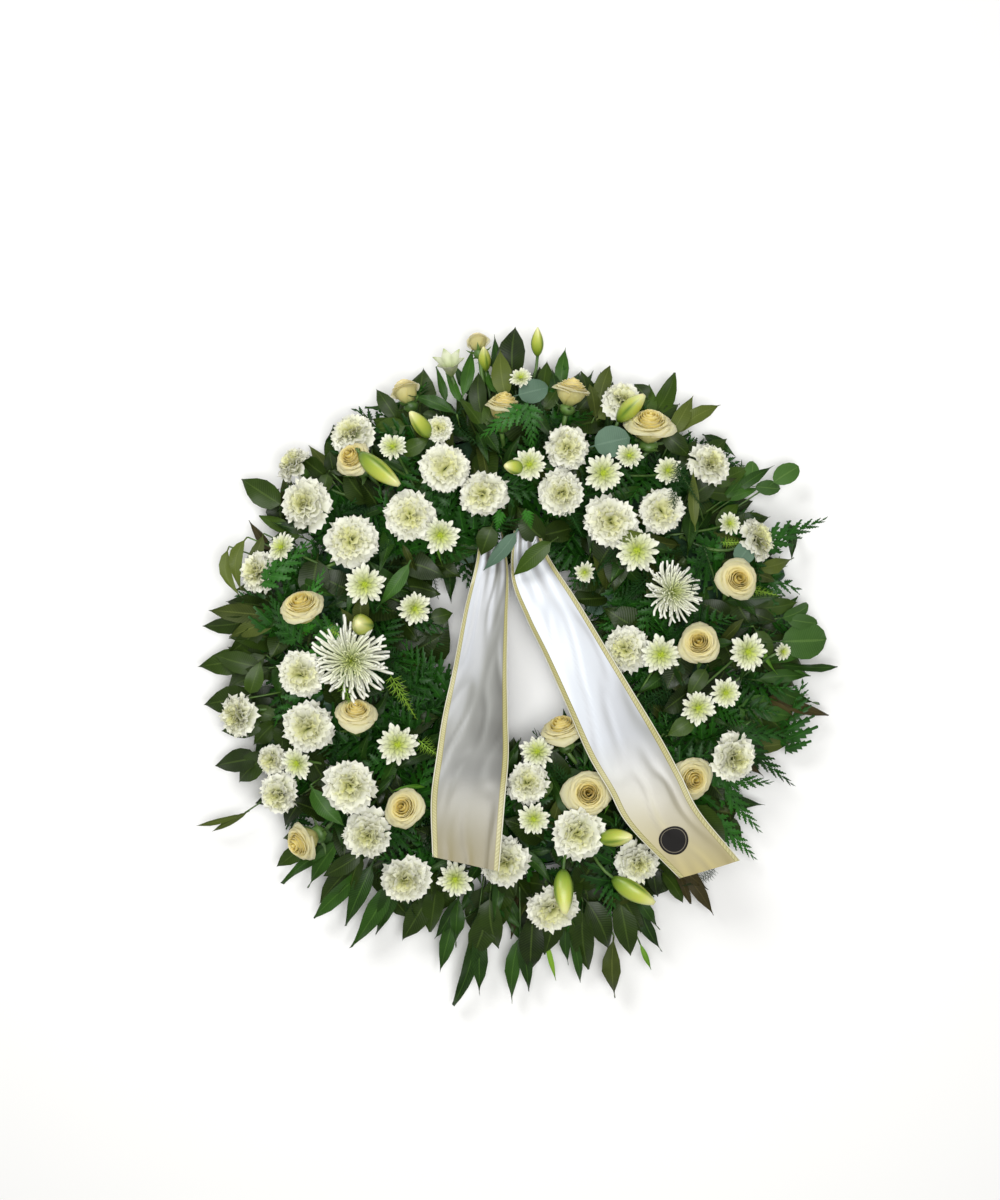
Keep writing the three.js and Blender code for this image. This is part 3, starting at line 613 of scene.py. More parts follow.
def plantTree():
    # a leaf or frond on every guide point, turned, sized and bent by the point's own attributes
    tree, given, add = newTree("leaf planting", {
        "Guides": "Geometry", "Leaves": "Collection", "Material": "Material"})
    pick, tone, reach, turn, size, swerve = (
        add("GeometryNodeInputNamedAttribute", {"Name": name}, data_type=kind)
        for name, kind in (("pick", "INT"), ("leafTone", "FLOAT"), ("rank", "FLOAT"),
                           ("turn", "FLOAT_VECTOR"), ("size", "FLOAT_VECTOR"), ("swerve", "FLOAT_VECTOR")))
    turn = add("FunctionNodeEulerToRotation", {"Euler": turn})
    points = add("GeometryNodeMeshToPoints", {"Mesh": given["Guides"]})
    marks = [("tone", "FLOAT", tone), ("swerve", "FLOAT_VECTOR", swerve)]
    real = placeCopies(add, given["Leaves"], points, pick, turn, size, marks)
    squared = add("ShaderNodeMath", {0: reach, 1: 2.0}, operation="POWER")
    bend = add("ShaderNodeVectorMath", {0: swerve, "Scale": squared}, operation="SCALE")
    bent = add("GeometryNodeSetPosition", {"Geometry": real, "Offset": bend})
    painted = add("GeometryNodeSetMaterial", {"Geometry": bent, "Material": given["Material"]})
    add("NodeGroupOutput", {0: painted})
    return tree


trees = {"whorl": whorlTree(), "frond": frondTree(), "plant": plantTree()}


def variants(name, shapes):  # shapes kept out of the scene, for the trees to pick from
    group = bpy.data.collections.new(name)
    for i, shape in enumerate(shapes):
        mesh = meshFrom(name, shape)
        for channel in channels:
            if not shape[channel].any():  # left for the tree to set on each copy
                mesh.attributes.remove(mesh.attributes[channel])
        group.objects.link(bpy.data.objects.new(f"{name} {i:02d}", mesh))
    return group


def dropVariants(group):
    for item in list(group.objects):
        bpy.data.objects.remove(item)
    bpy.data.collections.remove(group)


def grow(tree, values, guide=None):  # runs a tree on a helper object and hands back the plain mesh as arrays
    helper = bpy.data.objects.new("helper", guide or bpy.data.meshes.new("helper"))
    scene.collection.objects.link(helper)
    modifier = helper.modifiers.new("grow", "NODES")
    modifier.node_group = trees[tree]
    for item in trees[tree].interface.items_tree:
        if item.in_out == "INPUT" and item.name in values:
            modifier[item.identifier] = values[item.name]
    result = bpy.data.meshes.new_from_object(helper.evaluated_get(bpy.context.evaluated_depsgraph_get()))
    shape = shapeOfMesh(result)
    bpy.data.objects.remove(helper)
    bpy.data.meshes.remove(result)
    return shape


print("geometry node trees made")


def bentLine(first, last, power):  # unit-length centre line whose direction turns from first to last
    shares = np.linspace(0, 1, 33)
    angles = first + (last - first) * shares ** power
    x = np.concatenate([[0], np.cumsum(np.cos(angles[:-1]) * shares[1])])
    z = np.concatenate([[0], np.cumsum(np.sin(angles[:-1]) * shares[1])])
    return lambda t: (np.interp(t, shares, x), np.interp(t, shares, z), np.interp(t, shares, angles))


# Heads have radius 1 and look along +Z. Paints: 0 petals, 1 green stem, 2 disc florets.
# A petal's direction turns from claw at its foot to flare at its tip.
carnation = {
    "tooth": 0.06, "ruffle": 0.105, "claw": 0.34, "flare": -0.5, "width": 0.5, "thick": 0.01, "sink": -0.2,
    "head": {
        "Count": 46, "Disc radius": 0.08, "Disc rise": 0.12, "Inner elevation": 1.4, "Outer elevation": 0.0,
        "Inner size": 0.68, "Outer size": 0.98, "Ease": 0.75, "Twist": 0.6, "Jitter": 0.24},
}


def carnationPetalShape(seed):
    dice = random.Random(seed)
    phase, phase2 = dice.uniform(0, 6.28), dice.uniform(0, 6.28)
    claw, flare = carnation["claw"] + dice.uniform(-0.15, 0.15), carnation["flare"] + dice.uniform(-0.3, 0.35)
    line = bentLine(claw, flare, 1.3)

    def place(u, t):
        s = t * (1 - 0.16 * u * u * t)
        if t > 0.99:
            s += carnation["tooth"] * math.cos(4 * math.pi * (u + 1))  # pinked edge
        x, z, angle = line(min(1.0, s))
        x += max(0.0, s - 1) * math.cos(angle)
        z += max(0.0, s - 1) * math.sin(angle)
        half = 0.06 + carnation["width"] * max(0.0, min(1.0, (t - 0.2) / 0.65)) ** 1.2
        ripple = math.sin(4.2 * u + phase) + 0.8 * math.sin(9.5 * u + phase2)
        wave = t * t * carnation["ruffle"] * ripple
        return (x - wave * math.sin(angle), u * half, z + wave * math.cos(angle))

    return thinShape(8, [0, 0.45, 0.7, 0.88, 1.0], place, carnation["thick"])


daisy = {
    "width": 0.15, "thick": 0.02, "rise": 0.22, "droop": -0.3,
    "button": {"count": 40, "radius": 0.19, "rise": 0.19, "size": 0.045},
    "head": {
        "Count": 58, "Disc radius": 0.2, "Disc rise": 0.08, "Inner elevation": 0.95, "Outer elevation": 0.04,
        "Inner size": 0.36, "Outer size": 0.86, "Ease": 0.6, "Twist": 0.3, "Jitter": 0.12},
}


def rayPetalShape(seed):
    dice = random.Random(seed)
    side = dice.uniform(-0.07, 0.07)
    line = bentLine(daisy["rise"], daisy["droop"] + dice.uniform(-0.2, 0.25), 1.0)

    def place(u, t):
        x, z, _ = line(t * (1 - 0.05 * u * u))
        half = daisy["width"] * (0.4 + 0.6 * math.sin(math.pi * min(1.0, 0.1 + 0.62 * t)))
        half *= 0.5 if t > 0.99 else 1  # blunt tip
        return (x, u * half + side * t * t, z + 0.35 * daisy["width"] * u * u)

    return thinShape(4, [0, 0.35, 0.65, 0.88, 1.0], place, daisy["thick"])


spider = {
    "radius": 0.021, "swell": 0.024, "spoon": 0.01,
    "button": {"count": 30, "radius": 0.12, "rise": 0.2, "size": 0.03},
    "head": {
        "Count": 175, "Disc radius": 0.12, "Disc rise": 0.2, "Inner elevation": 1.35,
        "Outer elevation": -0.12, "Inner size": 0.26, "Outer size": 1.0, "Ease": 0.7, "Twist": 1.2,
        "Jitter": 0.14},
}


def quillPetalShape(seed):  # a slim rolled tube with a hooked tip
    dice = random.Random(seed)
    swing = dice.uniform(-0.2, 0.2)
    line = bentLine(-0.05, dice.uniform(0.1, 1.3), 2.6)
    path, radii = [], []
    for t in np.linspace(0, 1, 8):
        x, z, _ = line(t)
        path.append((x, swing * t * t, z))
        spoon = spider["spoon"] if t > 0.8 else 0
        radii.append(spider["radius"] + spider["swell"] * math.sin(math.pi * t ** 1.3) + spoon)
    return tubeShape(path, radii, 5)


def whorlHead(material, shapes, values, seed):
    group = variants("petal", shapes)
    values = dict(values, Petals=group, Variants=len(shapes), Seed=seed, Material=material)
    shape = grow("whorl", values)
    dropVariants(group)
    return shape


def buttonShape(look, seed):  # a dome packed with disc florets
    floret = turnedShape([(0.55, 0), (0.75, 0.7), (0.45, 1.25), (0.1, 1.3)], 5)
    radius, rise, size = look["radius"], look["rise"], look["size"]
    florets = whorlHead(disc, [floret], {
        "Count": look["count"], "Disc radius": radius, "Disc rise": rise,
        "Inner elevation": 0.0, "Outer elevation": 0.0, "Inner size": size, "Outer size": size * 1.1,
        "Ease": 1.0, "Twist": 0.2, "Jitter": 0.2}, seed)
    dome = turnedShape([(radius * 0.6, -0.06), (radius * 1.02, 0.0), (radius * 0.8, rise * 0.6),
                        (radius * 0.4, rise * 0.9), (radius * 0.05, rise)], 12)
    return moved(joined([florets, dome]), Matrix(), 2)


rose = {"petals": 26, "thick": 0.016, "lip": 0.26, "belly": 0.55, "fold": 0.66, "sink": -0.5}


def roseHead(seed, openness):
    # petals wrapped round the axis in a golden-angle spiral: tight in the heart, rolled back at the outside
    dice = random.Random(seed)
    made = []
    for i in range(rose["petals"]):
        f = i / (rose["petals"] - 1)
        turn = i * goldenAngle + dice.uniform(-0.2, 0.2)
        foot = 0.05 + 0.15 * f
        belly = (0.06 + rose["belly"] * f ** 0.6) * (1 + (openness - 1) * f)
        rim = belly * (0.72 + 0.28 * min(1, f / 0.5))
        lip = (0.03 + 0.08 * min(1, f / 0.2) + rose["lip"] * openness * max(0.0, (f - 0.4) / 0.6) ** 1.3)
        lip *= dice.uniform(0.75, 1.2)
        height = (1.62 - 0.56 * f ** 1.15) * dice.uniform(0.985, 1.015)
        arc = math.radians(140 - 66 * f)
        skew = dice.uniform(-0.25, 0.25)

        def place(u, t):
            a = turn + u * arc * (0.4 + 0.6 * min(1.0, t / 0.45) ** 0.7)
            swell = math.sin(0.5 * math.pi * min(1.0, t / 0.6))
            lean = max(0.0, (t - rose["fold"]) / 0.34) ** 1.5
            point = 0.35 + 0.65 * (1 - abs(u - skew))  # the lip rolls to a soft point
            radial = foot + (belly - foot) * swell + (rim - belly) * lean + lip * lean * point
            radial *= 1 + 0.05 * u  # one side tucks under the next petal
            tall = min(t, rose["fold"] + 0.4 * (t - rose["fold"])) - 0.16 * t * t * abs(u) ** 2.2
            z = height * tall - 0.7 * lip * lean * lean * point + 0.015 * math.sin(6 * u + turn) * t
            return (radial * math.cos(a), radial * math.sin(a), z)

        petal = thinShape(8, [0, 0.3, 0.55, 0.7, 0.82, 0.92, 1.0], place, rose["thick"])
        petal["tone"][:] = dice.random()
        petal["rank"][:] = f
        made.append(petal)
    return moved(joined(made), Matrix.Translation((0, 0, rose["sink"])))


star = {"tepals": 6, "width": 0.24, "thick": 0.02, "fuller": 1.1}


def roundAxis(shape, count):
    return [moved(shape, Matrix.Rotation(k * 2 * math.pi / count, 4, "Z")) for k in range(count)]


def starHead():  # a narrow lily-like flower, half open
    line = bentLine(1.35, 0.6, 1.0)

    def place(u, t):
        x, z, _ = line(t)
        half = star["width"] * math.sin(math.pi * min(1.0, 0.08 + 0.92 * t ** 0.8)) + 0.01
        return (x + 0.04, u * half, z + 0.5 * half * u * u)

    tepal = thinShape(4, [0, 0.2, 0.45, 0.7, 0.88, 1.0], place, star["thick"])
    tepal["rank"][:] = 1
    flower = joined(roundAxis(tepal, star["tepals"]))
    return moved(flower, Matrix.Translation((0, 0, -0.5)) @ Matrix.Scale(star["fuller"], 4), 2)


calyxes = {  # profiles of (radius, height) under the petals
    "carnation": [(0.08, -1.05), (0.2, -1.0), (0.25, -0.75), (0.27, -0.4), (0.34, -0.22), (0.2, -0.18)],
    "rose": [(0.08, -0.95), (0.26, -0.85), (0.38, -0.66), (0.3, -0.5), (0.1, -0.46)],
    "daisy": [(0.06, -0.34), (0.2, -0.26), (0.32, -0.1), (0.3, 0.0), (0.1, 0.03)],
}


def sepalPlace(u, t):
    return (0.28 + 0.55 * t, u * 0.13 * (1 - t) ** 0.7, -0.62 - 0.1 * t + 0.3 * t * t)


def calyxShape(kind):
    cup = turnedShape(calyxes[kind], 9, 1)
    sepals = roundAxis(thinShape(2, [0, 0.4, 0.75, 1.0], sepalPlace, 0.02, 1), 5) if kind == "rose" else []
    return joined([cup] + sepals)


def headMasters():  # a few heads of each kind, from which every head is copied
    made = {"rose": [], "carnation": [], "spray_daisy": [], "spider_chrysanthemum": []}
    for seed in range(5):
        shapes = [carnationPetalShape(10 * seed + k) for k in range(5)]
        bloom = whorlHead(petals["carnation petal"], shapes, carnation["head"], seed)
        sunk = moved(bloom, Matrix.Translation((0, 0, carnation["sink"])))
        made["carnation"].append(joined([sunk, calyxShape("carnation")]))
    for seed, openness in enumerate((1.0, 0.9, 1.06, 0.8)):
        made["rose"].append(joined([roseHead(seed + 3, openness), calyxShape("rose")]))
    for seed in range(3):
        shapes = [rayPetalShape(20 * seed + k) for k in range(4)]
        rays = whorlHead(petals["daisy ray petal"], shapes, daisy["head"], seed)
        made["spray_daisy"].append(joined([rays, calyxShape("daisy"), buttonShape(daisy["button"], seed)]))
    for seed in range(2):
        shapes = [quillPetalShape(30 * seed + k) for k in range(6)]
        quills = whorlHead(petals["spider mum petal"], shapes, spider["head"], seed)
        cup = moved(calyxShape("daisy"), Matrix.Scale(0.7, 4))
        made["spider_chrysanthemum"].append(joined([quills, cup, buttonShape(spider["button"], seed)]))
    return made


masters = headMasters()
print("flower heads grown:", {kind: len(items[0]["sizes"]) for kind, items in masters.items()}, "faces")

# One piece for each stem; each head is angle, radius, lift above the bed, head radius, extra outward lean.
flowerPlans = {
    "rose": {
        "petals": "rose petal", "slot": "rose_petal", "stem": 3.0, "neck": 0.95, "fuller": 1.2,
        "stems": [
            [[97, 430, 8, 20, 6]], [[113, 385, 0, 25, 22]], [[93, 330, 0, 27, 8]], [[78, 360, 2, 26, 14]],
            [[59, 355, 2, 31, 0]], [[130, 340, -2, 30, 6]], [[169, 295, 2, 31, 4]], [[202, 235, 0, 28, -4]],
            [[235, 260, 0, 28, 8]], [[222, 390, 0, 30, 0]], [[18, 315, 2, 30, 4]], [[2, 250, 2, 31, 0]],
            [[324, 295, -14, 29, 0]], [[297, 218, -8, 29, 0]], [[300, 130, -4, 28, 0]],
        ],
        # heading and angle by which each rose nods
        "nods": [
            [90, 50], [95, 52], [80, 48], [75, 42], [110, 38], [150, 10], [85, 45], [95, 50],
            [120, 25], [150, 20], [160, 8], [120, 22], [20, 10], [90, 6], [90, 40],
        ],
    },
    "carnation": {
        "petals": "carnation petal", "slot": "carnation_petal", "stem": 2.5, "neck": 1.05, "fuller": 1.04,
        "stems": [
            [[127, 375, 0, 28, 8], [140, 400, 0, 26, 14]], [[145, 352, 0, 33, 0], [163, 370, -2, 28, 12]],
            [[146, 270, 2, 34, 0]], [[128, 235, 0, 32, 0]], [[111, 268, 0, 32, 0], [109, 322, 2, 18, 0]],
            [[102, 220, 0, 32, 0]], [[76, 285, 2, 31, 0], [67, 375, -4, 27, 0]], [[74, 225, 0, 29, 0]],
            [[54, 220, 0, 33, 0], [44, 275, 0, 30, 0]], [[44, 370, 0, 28, 0], [25, 365, 0, 28, 30]],
            [[1, 152, -16, 30, 0]], [[334, 330, 0, 32, 8]], [[186, 293, 0, 32, 0], [200, 300, 0, 33, 0]],
            [[193, 392, 0, 30, 8], [211, 380, 0, 28, 0], [204, 368, -12, 22, 0]],
            [[219, 290, 2, 34, 0], [231, 320, 0, 32, 0]], [[244, 345, 0, 32, 0]],
            [[267, 288, -12, 32, 0], [278, 355, 0, 33, 0]], [[275, 180, -6, 26, 0]],
            [[289, 260, 2, 33, 0], [300, 335, -12, 27, 0]],
        ],
    },
    "spray_daisy": {
        "petals": "daisy ray petal", "slot": "daisy_petal", "stem": 1.8, "neck": 0.3, "fuller": 1.06,
        "stems": [
            [[156, 350, 0, 21, 10], [156, 225, 4, 28, 0], [157, 152, -2, 23, 0]],
            [[121, 325, 8, 19, 0], [123, 190, 0, 26, 0]],
            [[86, 255, 6, 23, 0], [64, 270, 4, 27, 0], [60, 308, 0, 18, 0], [50, 322, 0, 19, 0],
             [89, 375, 4, 15, 0]],
            [[40, 215, 2, 29, 0], [31, 340, 0, 16, 0], [49, 145, -6, 14, 0]],
            [[359, 198, 0, 26, 0], [360, 315, 2, 25, 0], [349, 290, 0, 21, 0], [343, 258, 4, 22, 0],
             [0, 365, 4, 12, 0]],
            [[282, 142, -4, 23, 0], [276, 228, 2, 21, 0]],
            [[207, 335, 0, 22, 0], [218, 205, 0, 28, 0], [255, 320, 0, 24, 0]],
        ],
    },
    "spider_chrysanthemum": {
        "petals": "spider mum petal", "slot": "daisy_petal", "stem": 3.0, "neck": 0.25, "fuller": 1.0,
        "stems": [[[183, 225, 0, 52, 0]], [[21, 225, 4, 40, 26]]],
    },
}
heads = []  # centre, radius and facing of every head, for the leaves to keep clear of


stem = {"fork": 10, "neck": 40, "sides": 6, "root": 1.2}  # fork above the foam, straight neck, thicker root


def stemShapes(places, necks, ways, thick):  # from the foam to each head, forked where there are several
    angle, radius = (sum(place[k] for place in places) / len(places) for k in (0, 1))
    foot = stemFoot(angle, radius)
    if len(necks) == 1:
        return [tubeShape([foot, (foot + necks[0]) / 2, necks[0]], thick * mm, stem["sides"], 1)]
    fork = Vector((foot.x, foot.y, (foamTop + stem["fork"]) * mm))
    made = [tubeShape([foot, fork], stem["root"] * thick * mm, stem["sides"], 1)]
    for neck, way in zip(necks, ways):
        made.append(tubeShape(arcPath(neck, -way * stem["neck"] * mm, fork, 5), thick * mm, stem["sides"], 1))
    return made


def faceTo(at, way, dice):  # puts a shape at a place, looking along way and turned at random
    spin = Matrix.Rotation(dice.uniform(0, 6.28), 4, "Z")
    return Matrix.Translation(at) @ way.to_track_quat("Z", "Y").to_matrix().to_4x4() @ spin


def makeFlowers(kind, plan):
    materials = [petals[plan["petals"]], greenStem, disc]
    for number, rows in enumerate(plan["stems"], 1):
        dice = random.Random(f"{kind}{number}")
        made, necks, ways = [], [], []
        for angle, radius, lift, size, lean in rows:
            at = polar(angle, radius, moundHeight(radius) + lift)
            way = facing(angle, radius, lean)
            if "nods" in plan:
                heading, nod = plan["nods"][number - 1]
                axis = Vector((-math.sin(math.radians(heading)), math.cos(math.radians(heading)), 0))
                way = Matrix.Rotation(math.radians(nod), 3, axis) @ way
            size *= plan["fuller"] * mm
            heads.append((at, size, way))
            master = dice.choice(masters[kind])
            squash = Matrix.Diagonal((*(size * dice.uniform(0.95, 1.05) for _ in range(3)), 1))
            matrix = faceTo(at, way, dice) @ squash
            made.append(moved(master, matrix, toneShift=dice.uniform(-0.25, 0.2)))
            necks.append(at - way * size * plan["neck"])
            ways.append(way)
        made += stemShapes(rows, necks, ways, plan["stem"])
        addPiece(f"{kind}_{number:02d}_bloom", joined(made), materials, plan["slot"], f"{kind}_{number:02d}")


for kind, plan in flowerPlans.items():
    makeFlowers(kind, plan)
print("flowers placed:", len(heads), "heads")

# Lily buds: form, angle, radius, lift, length, thickest radius, heading, elevation.
budPlans = [
    [["bud", 113, 335, 20, 52, 10, 135, 40], ["bud", 127, 308, 22, 72, 12, 318, 12]],
    [["slim", 96, 408, 2, 42, 8, 95, 40], ["star", 103, 405, 8, 36, 12, 100, 45],
     ["slim", 86, 432, 8, 44, 8, 92, 30], ["bud", 91, 250, 18, 34, 9, 180, 45]],
    [["bud", 65, 368, 18, 54, 11, 48, 30]],
    [["bud", 170, 212, 14, 46, 13, 180, 80]],
    [["bud", 298, 285, 18, 50, 11, 5, 35], ["bud", 281, 330, 24, 60, 12, 268, 18],
     ["bud", 296, 365, 10, 66, 12, 326, 6]],
]
bud = {
    "sides": 18, "rings": 13, "seam": 0.08, "bend": 0.06, "plump": 1.1, "stem": 2.2,
    "blunt": {"bud": 0.72, "slim": 1.0},
}


def budShape(length, size, blunt):  # three tepals meet in seams, with a green rib down each
    rings, ribs = [], []
    for k in range(bud["rings"]):
        t = k / (bud["rings"] - 1)
        radius = size * max(0.1, math.sin(math.pi * (0.06 + 0.9 * t ** 0.88)) ** blunt)
        ring = []
        for i in range(bud["sides"]):
            a = 2 * math.pi * i / bud["sides"]
            seam = math.cos(3 * a)
            r = radius * (1 + bud["seam"] * seam)
            ring.append((r * math.cos(a), r * math.sin(a) + bud["bend"] * length * t * t, length * (t - 0.5)))
            ribs.append(max(0.0, seam) ** 3 * math.sin(math.pi * t))
        rings.append(ring)
    return loftShape(rings, across=ribs)


def makeBuds():
    for number, rows in enumerate(budPlans, 1):
        dice = random.Random(number)
        made, necks, ways = [], [], []
        for form, angle, radius, lift, length, size, heading, elevation in rows:
            at = polar(angle, radius, moundHeight(radius) + lift)
            e, h = math.radians(elevation), math.radians(heading)
            way = Vector((math.cos(e) * math.cos(h), math.cos(e) * math.sin(h), math.sin(e)))
            if form == "star":
                shape = moved(starHead(), Matrix.Scale(length * mm, 4))
            else:
                shape = budShape(length * mm, bud["plump"] * size * mm, bud["blunt"][form])
            made.append(moved(shape, faceTo(at, way, dice)))
            necks.append(at - way * length * mm * 0.48)
            ways.append(way)
        made += stemShapes([row[1:] for row in rows], necks, ways, bud["stem"])
        materials = [plain["lily bud skin"], greenStem, petals["lily tepal"]]
        node = f"lily_buds_{number:02d}"
        addPiece(node + "_buds", joined(made), materials, "bud_skin", node)


makeBuds()
print("buds placed")

# Leaves have length 1 along +X and their upper face up.
leafForms = {
    # petiole, widest half width, where it is widest, fullness of the outline, fold, bow, material
    "salal": (0.14, 0.25, 0.50, 0.72, 0.16, 0.07, "salal leaf"),
    "ruscus": (0.08, 0.115, 0.45, 0.95, 0.24, 0.05, "ruscus leaf"),
    "olive": (0.08, 0.14, 0.50, 0.85, 0.20, 0.05, "olive green leaf"),
    "brown": (0.06, 0.12, 0.40, 1.05, 0.25, 0.06, "browning leaf"),
    "sage": (0.10, 0.13, 0.45, 0.85, 0.15, 0.06, "blue eucalyptus leaf"),
    "silver": (0.20, 0.33, 0.58, 0.5, 0.08, 0.03, "blue eucalyptus leaf"),
    "coin": (0.16, 0.40, 0.58, 0.5, 0.06, 0.03, "green eucalyptus leaf"),
    "lime": (0.04, 0.06, 0.42, 1.0, 0.2, 0.06, "lime filler leaf"),
}


def withReach(shape):  # the planting tree bends a leaf by the square of this
    shape["rank"] = shape["points"][:, 0].copy()
    return shape


def leafShape(kind, seed):
    petiole, width, widest, full, fold, bow, _ = leafForms[kind]
    dice = random.Random(seed)
    bow *= dice.uniform(0.5, 1.8)
    twist = dice.uniform(-0.35, 0.35)
    wave, phase = dice.uniform(0.02, 0.07), dice.uniform(0, 6.28)
    skew = math.log(0.5) / math.log((widest - petiole) / (1 - petiole))
    roundTip = full < 0.6

    def place(u, t):
        s = max(0.0, (t - petiole) / (1 - petiole))
        power = full if roundTip else full * (0.65 + 0.95 * s)  # narrows faster towards a pointed tip
        half = width * max(0.0, math.sin(math.pi * min(1, s) ** skew)) ** power
        half = max(half, 0.014 if t < 0.5 else 0.004)
        z = bow * 4 * t * (1 - t) + fold * abs(u) * half
        z += wave * math.sin(8 * t + phase + 1.5 * u) * abs(u) * min(1, 4 * s)
        return (t, u * half, z + u * half * twist * (t - 0.3))

    steps = (0.06, 0.2, 0.4, 0.6, 0.8, 0.93, 1.0) if roundTip else (0.12, 0.3, 0.5, 0.7, 0.86, 0.95, 1.0)
    alongs = [0, petiole] + [petiole + (1 - petiole) * x for x in steps]
    return withReach(thinShape(4, alongs, place, 0.008))


def pinnaShape(seed):  # a fern pinna cut into rounded lobes that point forwards
    dice = random.Random(seed)
    droop = dice.uniform(0.05, 0.2)
    lobes = 5

    def place(u, t):
        half = 0.34 * (1 - t) ** 0.75 * min(1.0, 0.45 + 4 * t)
        crest = 0.5 - 0.5 * math.cos(2 * math.pi * lobes * t)
        z = 0.2 * abs(u) * half - droop * t * t
        return (t + 0.09 * abs(u) * crest, u * half * (0.5 + 0.5 * crest), z)

    return thinShape(2, [k / (2 * lobes) for k in range(2 * lobes + 1)], place, 0.01)


def needlesShape(seed):  # a hair-fine spray of three needles
    dice = random.Random(seed)
    made = []
    for swing in (-0.5, 0.0, 0.45):
        tip = (math.cos(swing), math.sin(swing) + dice.uniform(-0.1, 0.1), dice.uniform(-0.1, 0.25))
        path = [(0, 0, 0), (0.5 * tip[0], 0.35 * tip[1], 0.06), tip]
        made.append(tubeShape(path, [0.03, 0.04, 0.014], 3))
    return joined(made)


frondForms = {
    "fern": {"shape": pinnaShape, "material": "leather fern frond", "halfWidth": 0.42,
             "values": {"Pairs": 7, "Leaflet size": 0.5, "Sweep": 1.2, "Stalk radius": 0.009}},
    "plume": {"shape": needlesShape, "material": "tree fern plume", "halfWidth": 0.19,
              "values": {"Pairs": 15, "Leaflet size": 0.2, "Sweep": 1.2, "Stalk radius": 0.006}},
    "tuft": {"shape": needlesShape, "material": "lime filler leaf", "halfWidth": 0.22,
             "values": {"Pairs": 9, "Leaflet size": 0.24, "Sweep": 1.0, "Stalk radius": 0.008}},
}


def frondShape(kind, seed):
    form = frondForms[kind]
    group = variants("leaflet", [form["shape"](seed * 5 + k) for k in range(3)])
    shape = grow("frond", dict(
        form["values"], Leaflets=group, Variants=3, Length=1.0, Bow=0.06, Seed=seed,
        Material=leaves[form["material"]]))
    dropVariants(group)
    return withReach(shape)


leafKinds, halfWidths, plantMaterials = {}, {}, []
for i, (kind, form) in enumerate(leafForms.items()):
    leafKinds[kind] = variants(kind + " leaf", [leafShape(kind, 10 * i + k) for k in range(5)])
    halfWidths[kind] = form[1]
    plantMaterials.append(leaves[form[-1]])
for i, (kind, form) in enumerate(frondForms.items()):
    leafKinds[kind] = variants(kind + " leaf", [frondShape(kind, 10 * i + k) for k in range(3)])
    halfWidths[kind] = form["halfWidth"]
    plantMaterials.append(leaves[form["material"]])
plantMaterials.append(greenStem)
stemPaint = len(leafKinds)
print("leaf kinds grown")


def guideMesh(rows):  # a point for each leaf, with what the planting tree reads
    mesh = bpy.data.meshes.new("guides")
    mesh.vertices.add(len(rows))
    mesh.vertices.foreach_set("co", np.array([row["foot"] for row in rows], np.float32).ravel())
    for name in ("turn", "size", "swerve"):
        attribute = mesh.attributes.new(name, "FLOAT_VECTOR", "POINT")
        attribute.data.foreach_set("vector", np.array([row[name] for row in rows], np.float32).ravel())
    attribute = mesh.attributes.new("pick", "INT", "POINT")
    attribute.data.foreach_set("value", np.array([row["pick"] for row in rows], np.int32))
    attribute = mesh.attributes.new("leafTone", "FLOAT", "POINT")
    attribute.data.foreach_set("value", np.array([row["tone"] for row in rows], np.float32))
    return mesh


def leafRow(kind, foot, tip, halfWidth, bulge, sag, roll, tone, dice):
    # half way along, the leaf is bulge metres left of the straight line to its tip and sag metres above it
    chord = tip - foot
    left = Vector((-chord.y, chord.x, 0)).normalized() if chord.xy.length > 1e-4 else Vector((0, 1, 0))
    swerve = left * (-4 * bulge) + Vector((0, 0, -4 * sag))
    ahead = chord - swerve
    length = ahead.length
    x = ahead.normalized()
    side = Vector((0, 0, 1)).cross(x)
    side = side.normalized() if side.length > 1e-4 else Vector((0, 1, 0))
    turn = Matrix((x, side, x.cross(side))).transposed() @ Matrix.Rotation(math.radians(roll), 3, "X")
    width = 1.0 if halfWidth is None else halfWidth / (halfWidths[kind] * length)
    return {
        "kind": kind, "foot": foot, "turn": turn.to_euler("XYZ"), "pick": dice.randrange(5),
        "size": (length, length * width, length * min(width, 1.1)), "swerve": swerve, "tone": tone}


def plantLeaves(rows):  # each kind is grown at once, and its paint is its place in plantMaterials
    made = []
    for index, kind in enumerate(leafKinds):
        mine = [row for row in rows if row["kind"] == kind]
        if mine:
            values = {"Leaves": leafKinds[kind], "Material": plantMaterials[index]}
            made.append(moved(grow("plant", values, guideMesh(mine)), Matrix(), index))
    return made


# In a sprig the outer leaves are shorter and start lower. The fill is the leaves between the heads, with
# their tips just under the bed's surface, and the skirt is the lower leaves round the outside, which hide the
# tray. Their kinds have weights, and their ranges are in mm, degrees or shares.
greenery = {
    "twigRadius": 318, "twigHeight": 28, "twigThick": 2.0, "stalkThick": 1.1, "seed": 11,
    "sprig": {"droop": 0.24, "shorter": 0.16, "lower": 0.22, "sag": (0, 8), "roll": 32},
    "leaf": {"sag": 3, "tone": (0.3, 1)},
    "fill": {
        # the fill's tone stays low: painted shade for the leaves deep between the heads
        "perDegree": 2.3, "tries": 14, "length": (52, 96), "depth": (18, 60), "tone": (0.0, 0.36),
        "across": (-0.84, 0.93), "rise": (0.15, 0.7), "lowest": 20, "roll": 35,
        "kinds": {"fern": 20, "plume": 9, "ruscus": 26, "salal": 26, "olive": 5, "silver": 1, "lime": 1},
        "longer": {"lime": 0.7, "fern": 1.25, "plume": 1.1}},
    "skirt": {
        "perDegree": 0.42, "length": (55, 95), "radius": (372, 420), "height": (14, 44), "turn": 30,
        "rise": (-0.35, 0.1), "lowest": 22, "sag": 2, "roll": 25, "tone": (0.0, 0.55),
        "kinds": {"salal": 40, "ruscus": 34, "olive": 10, "fern": 8, "brown": 4}},
}
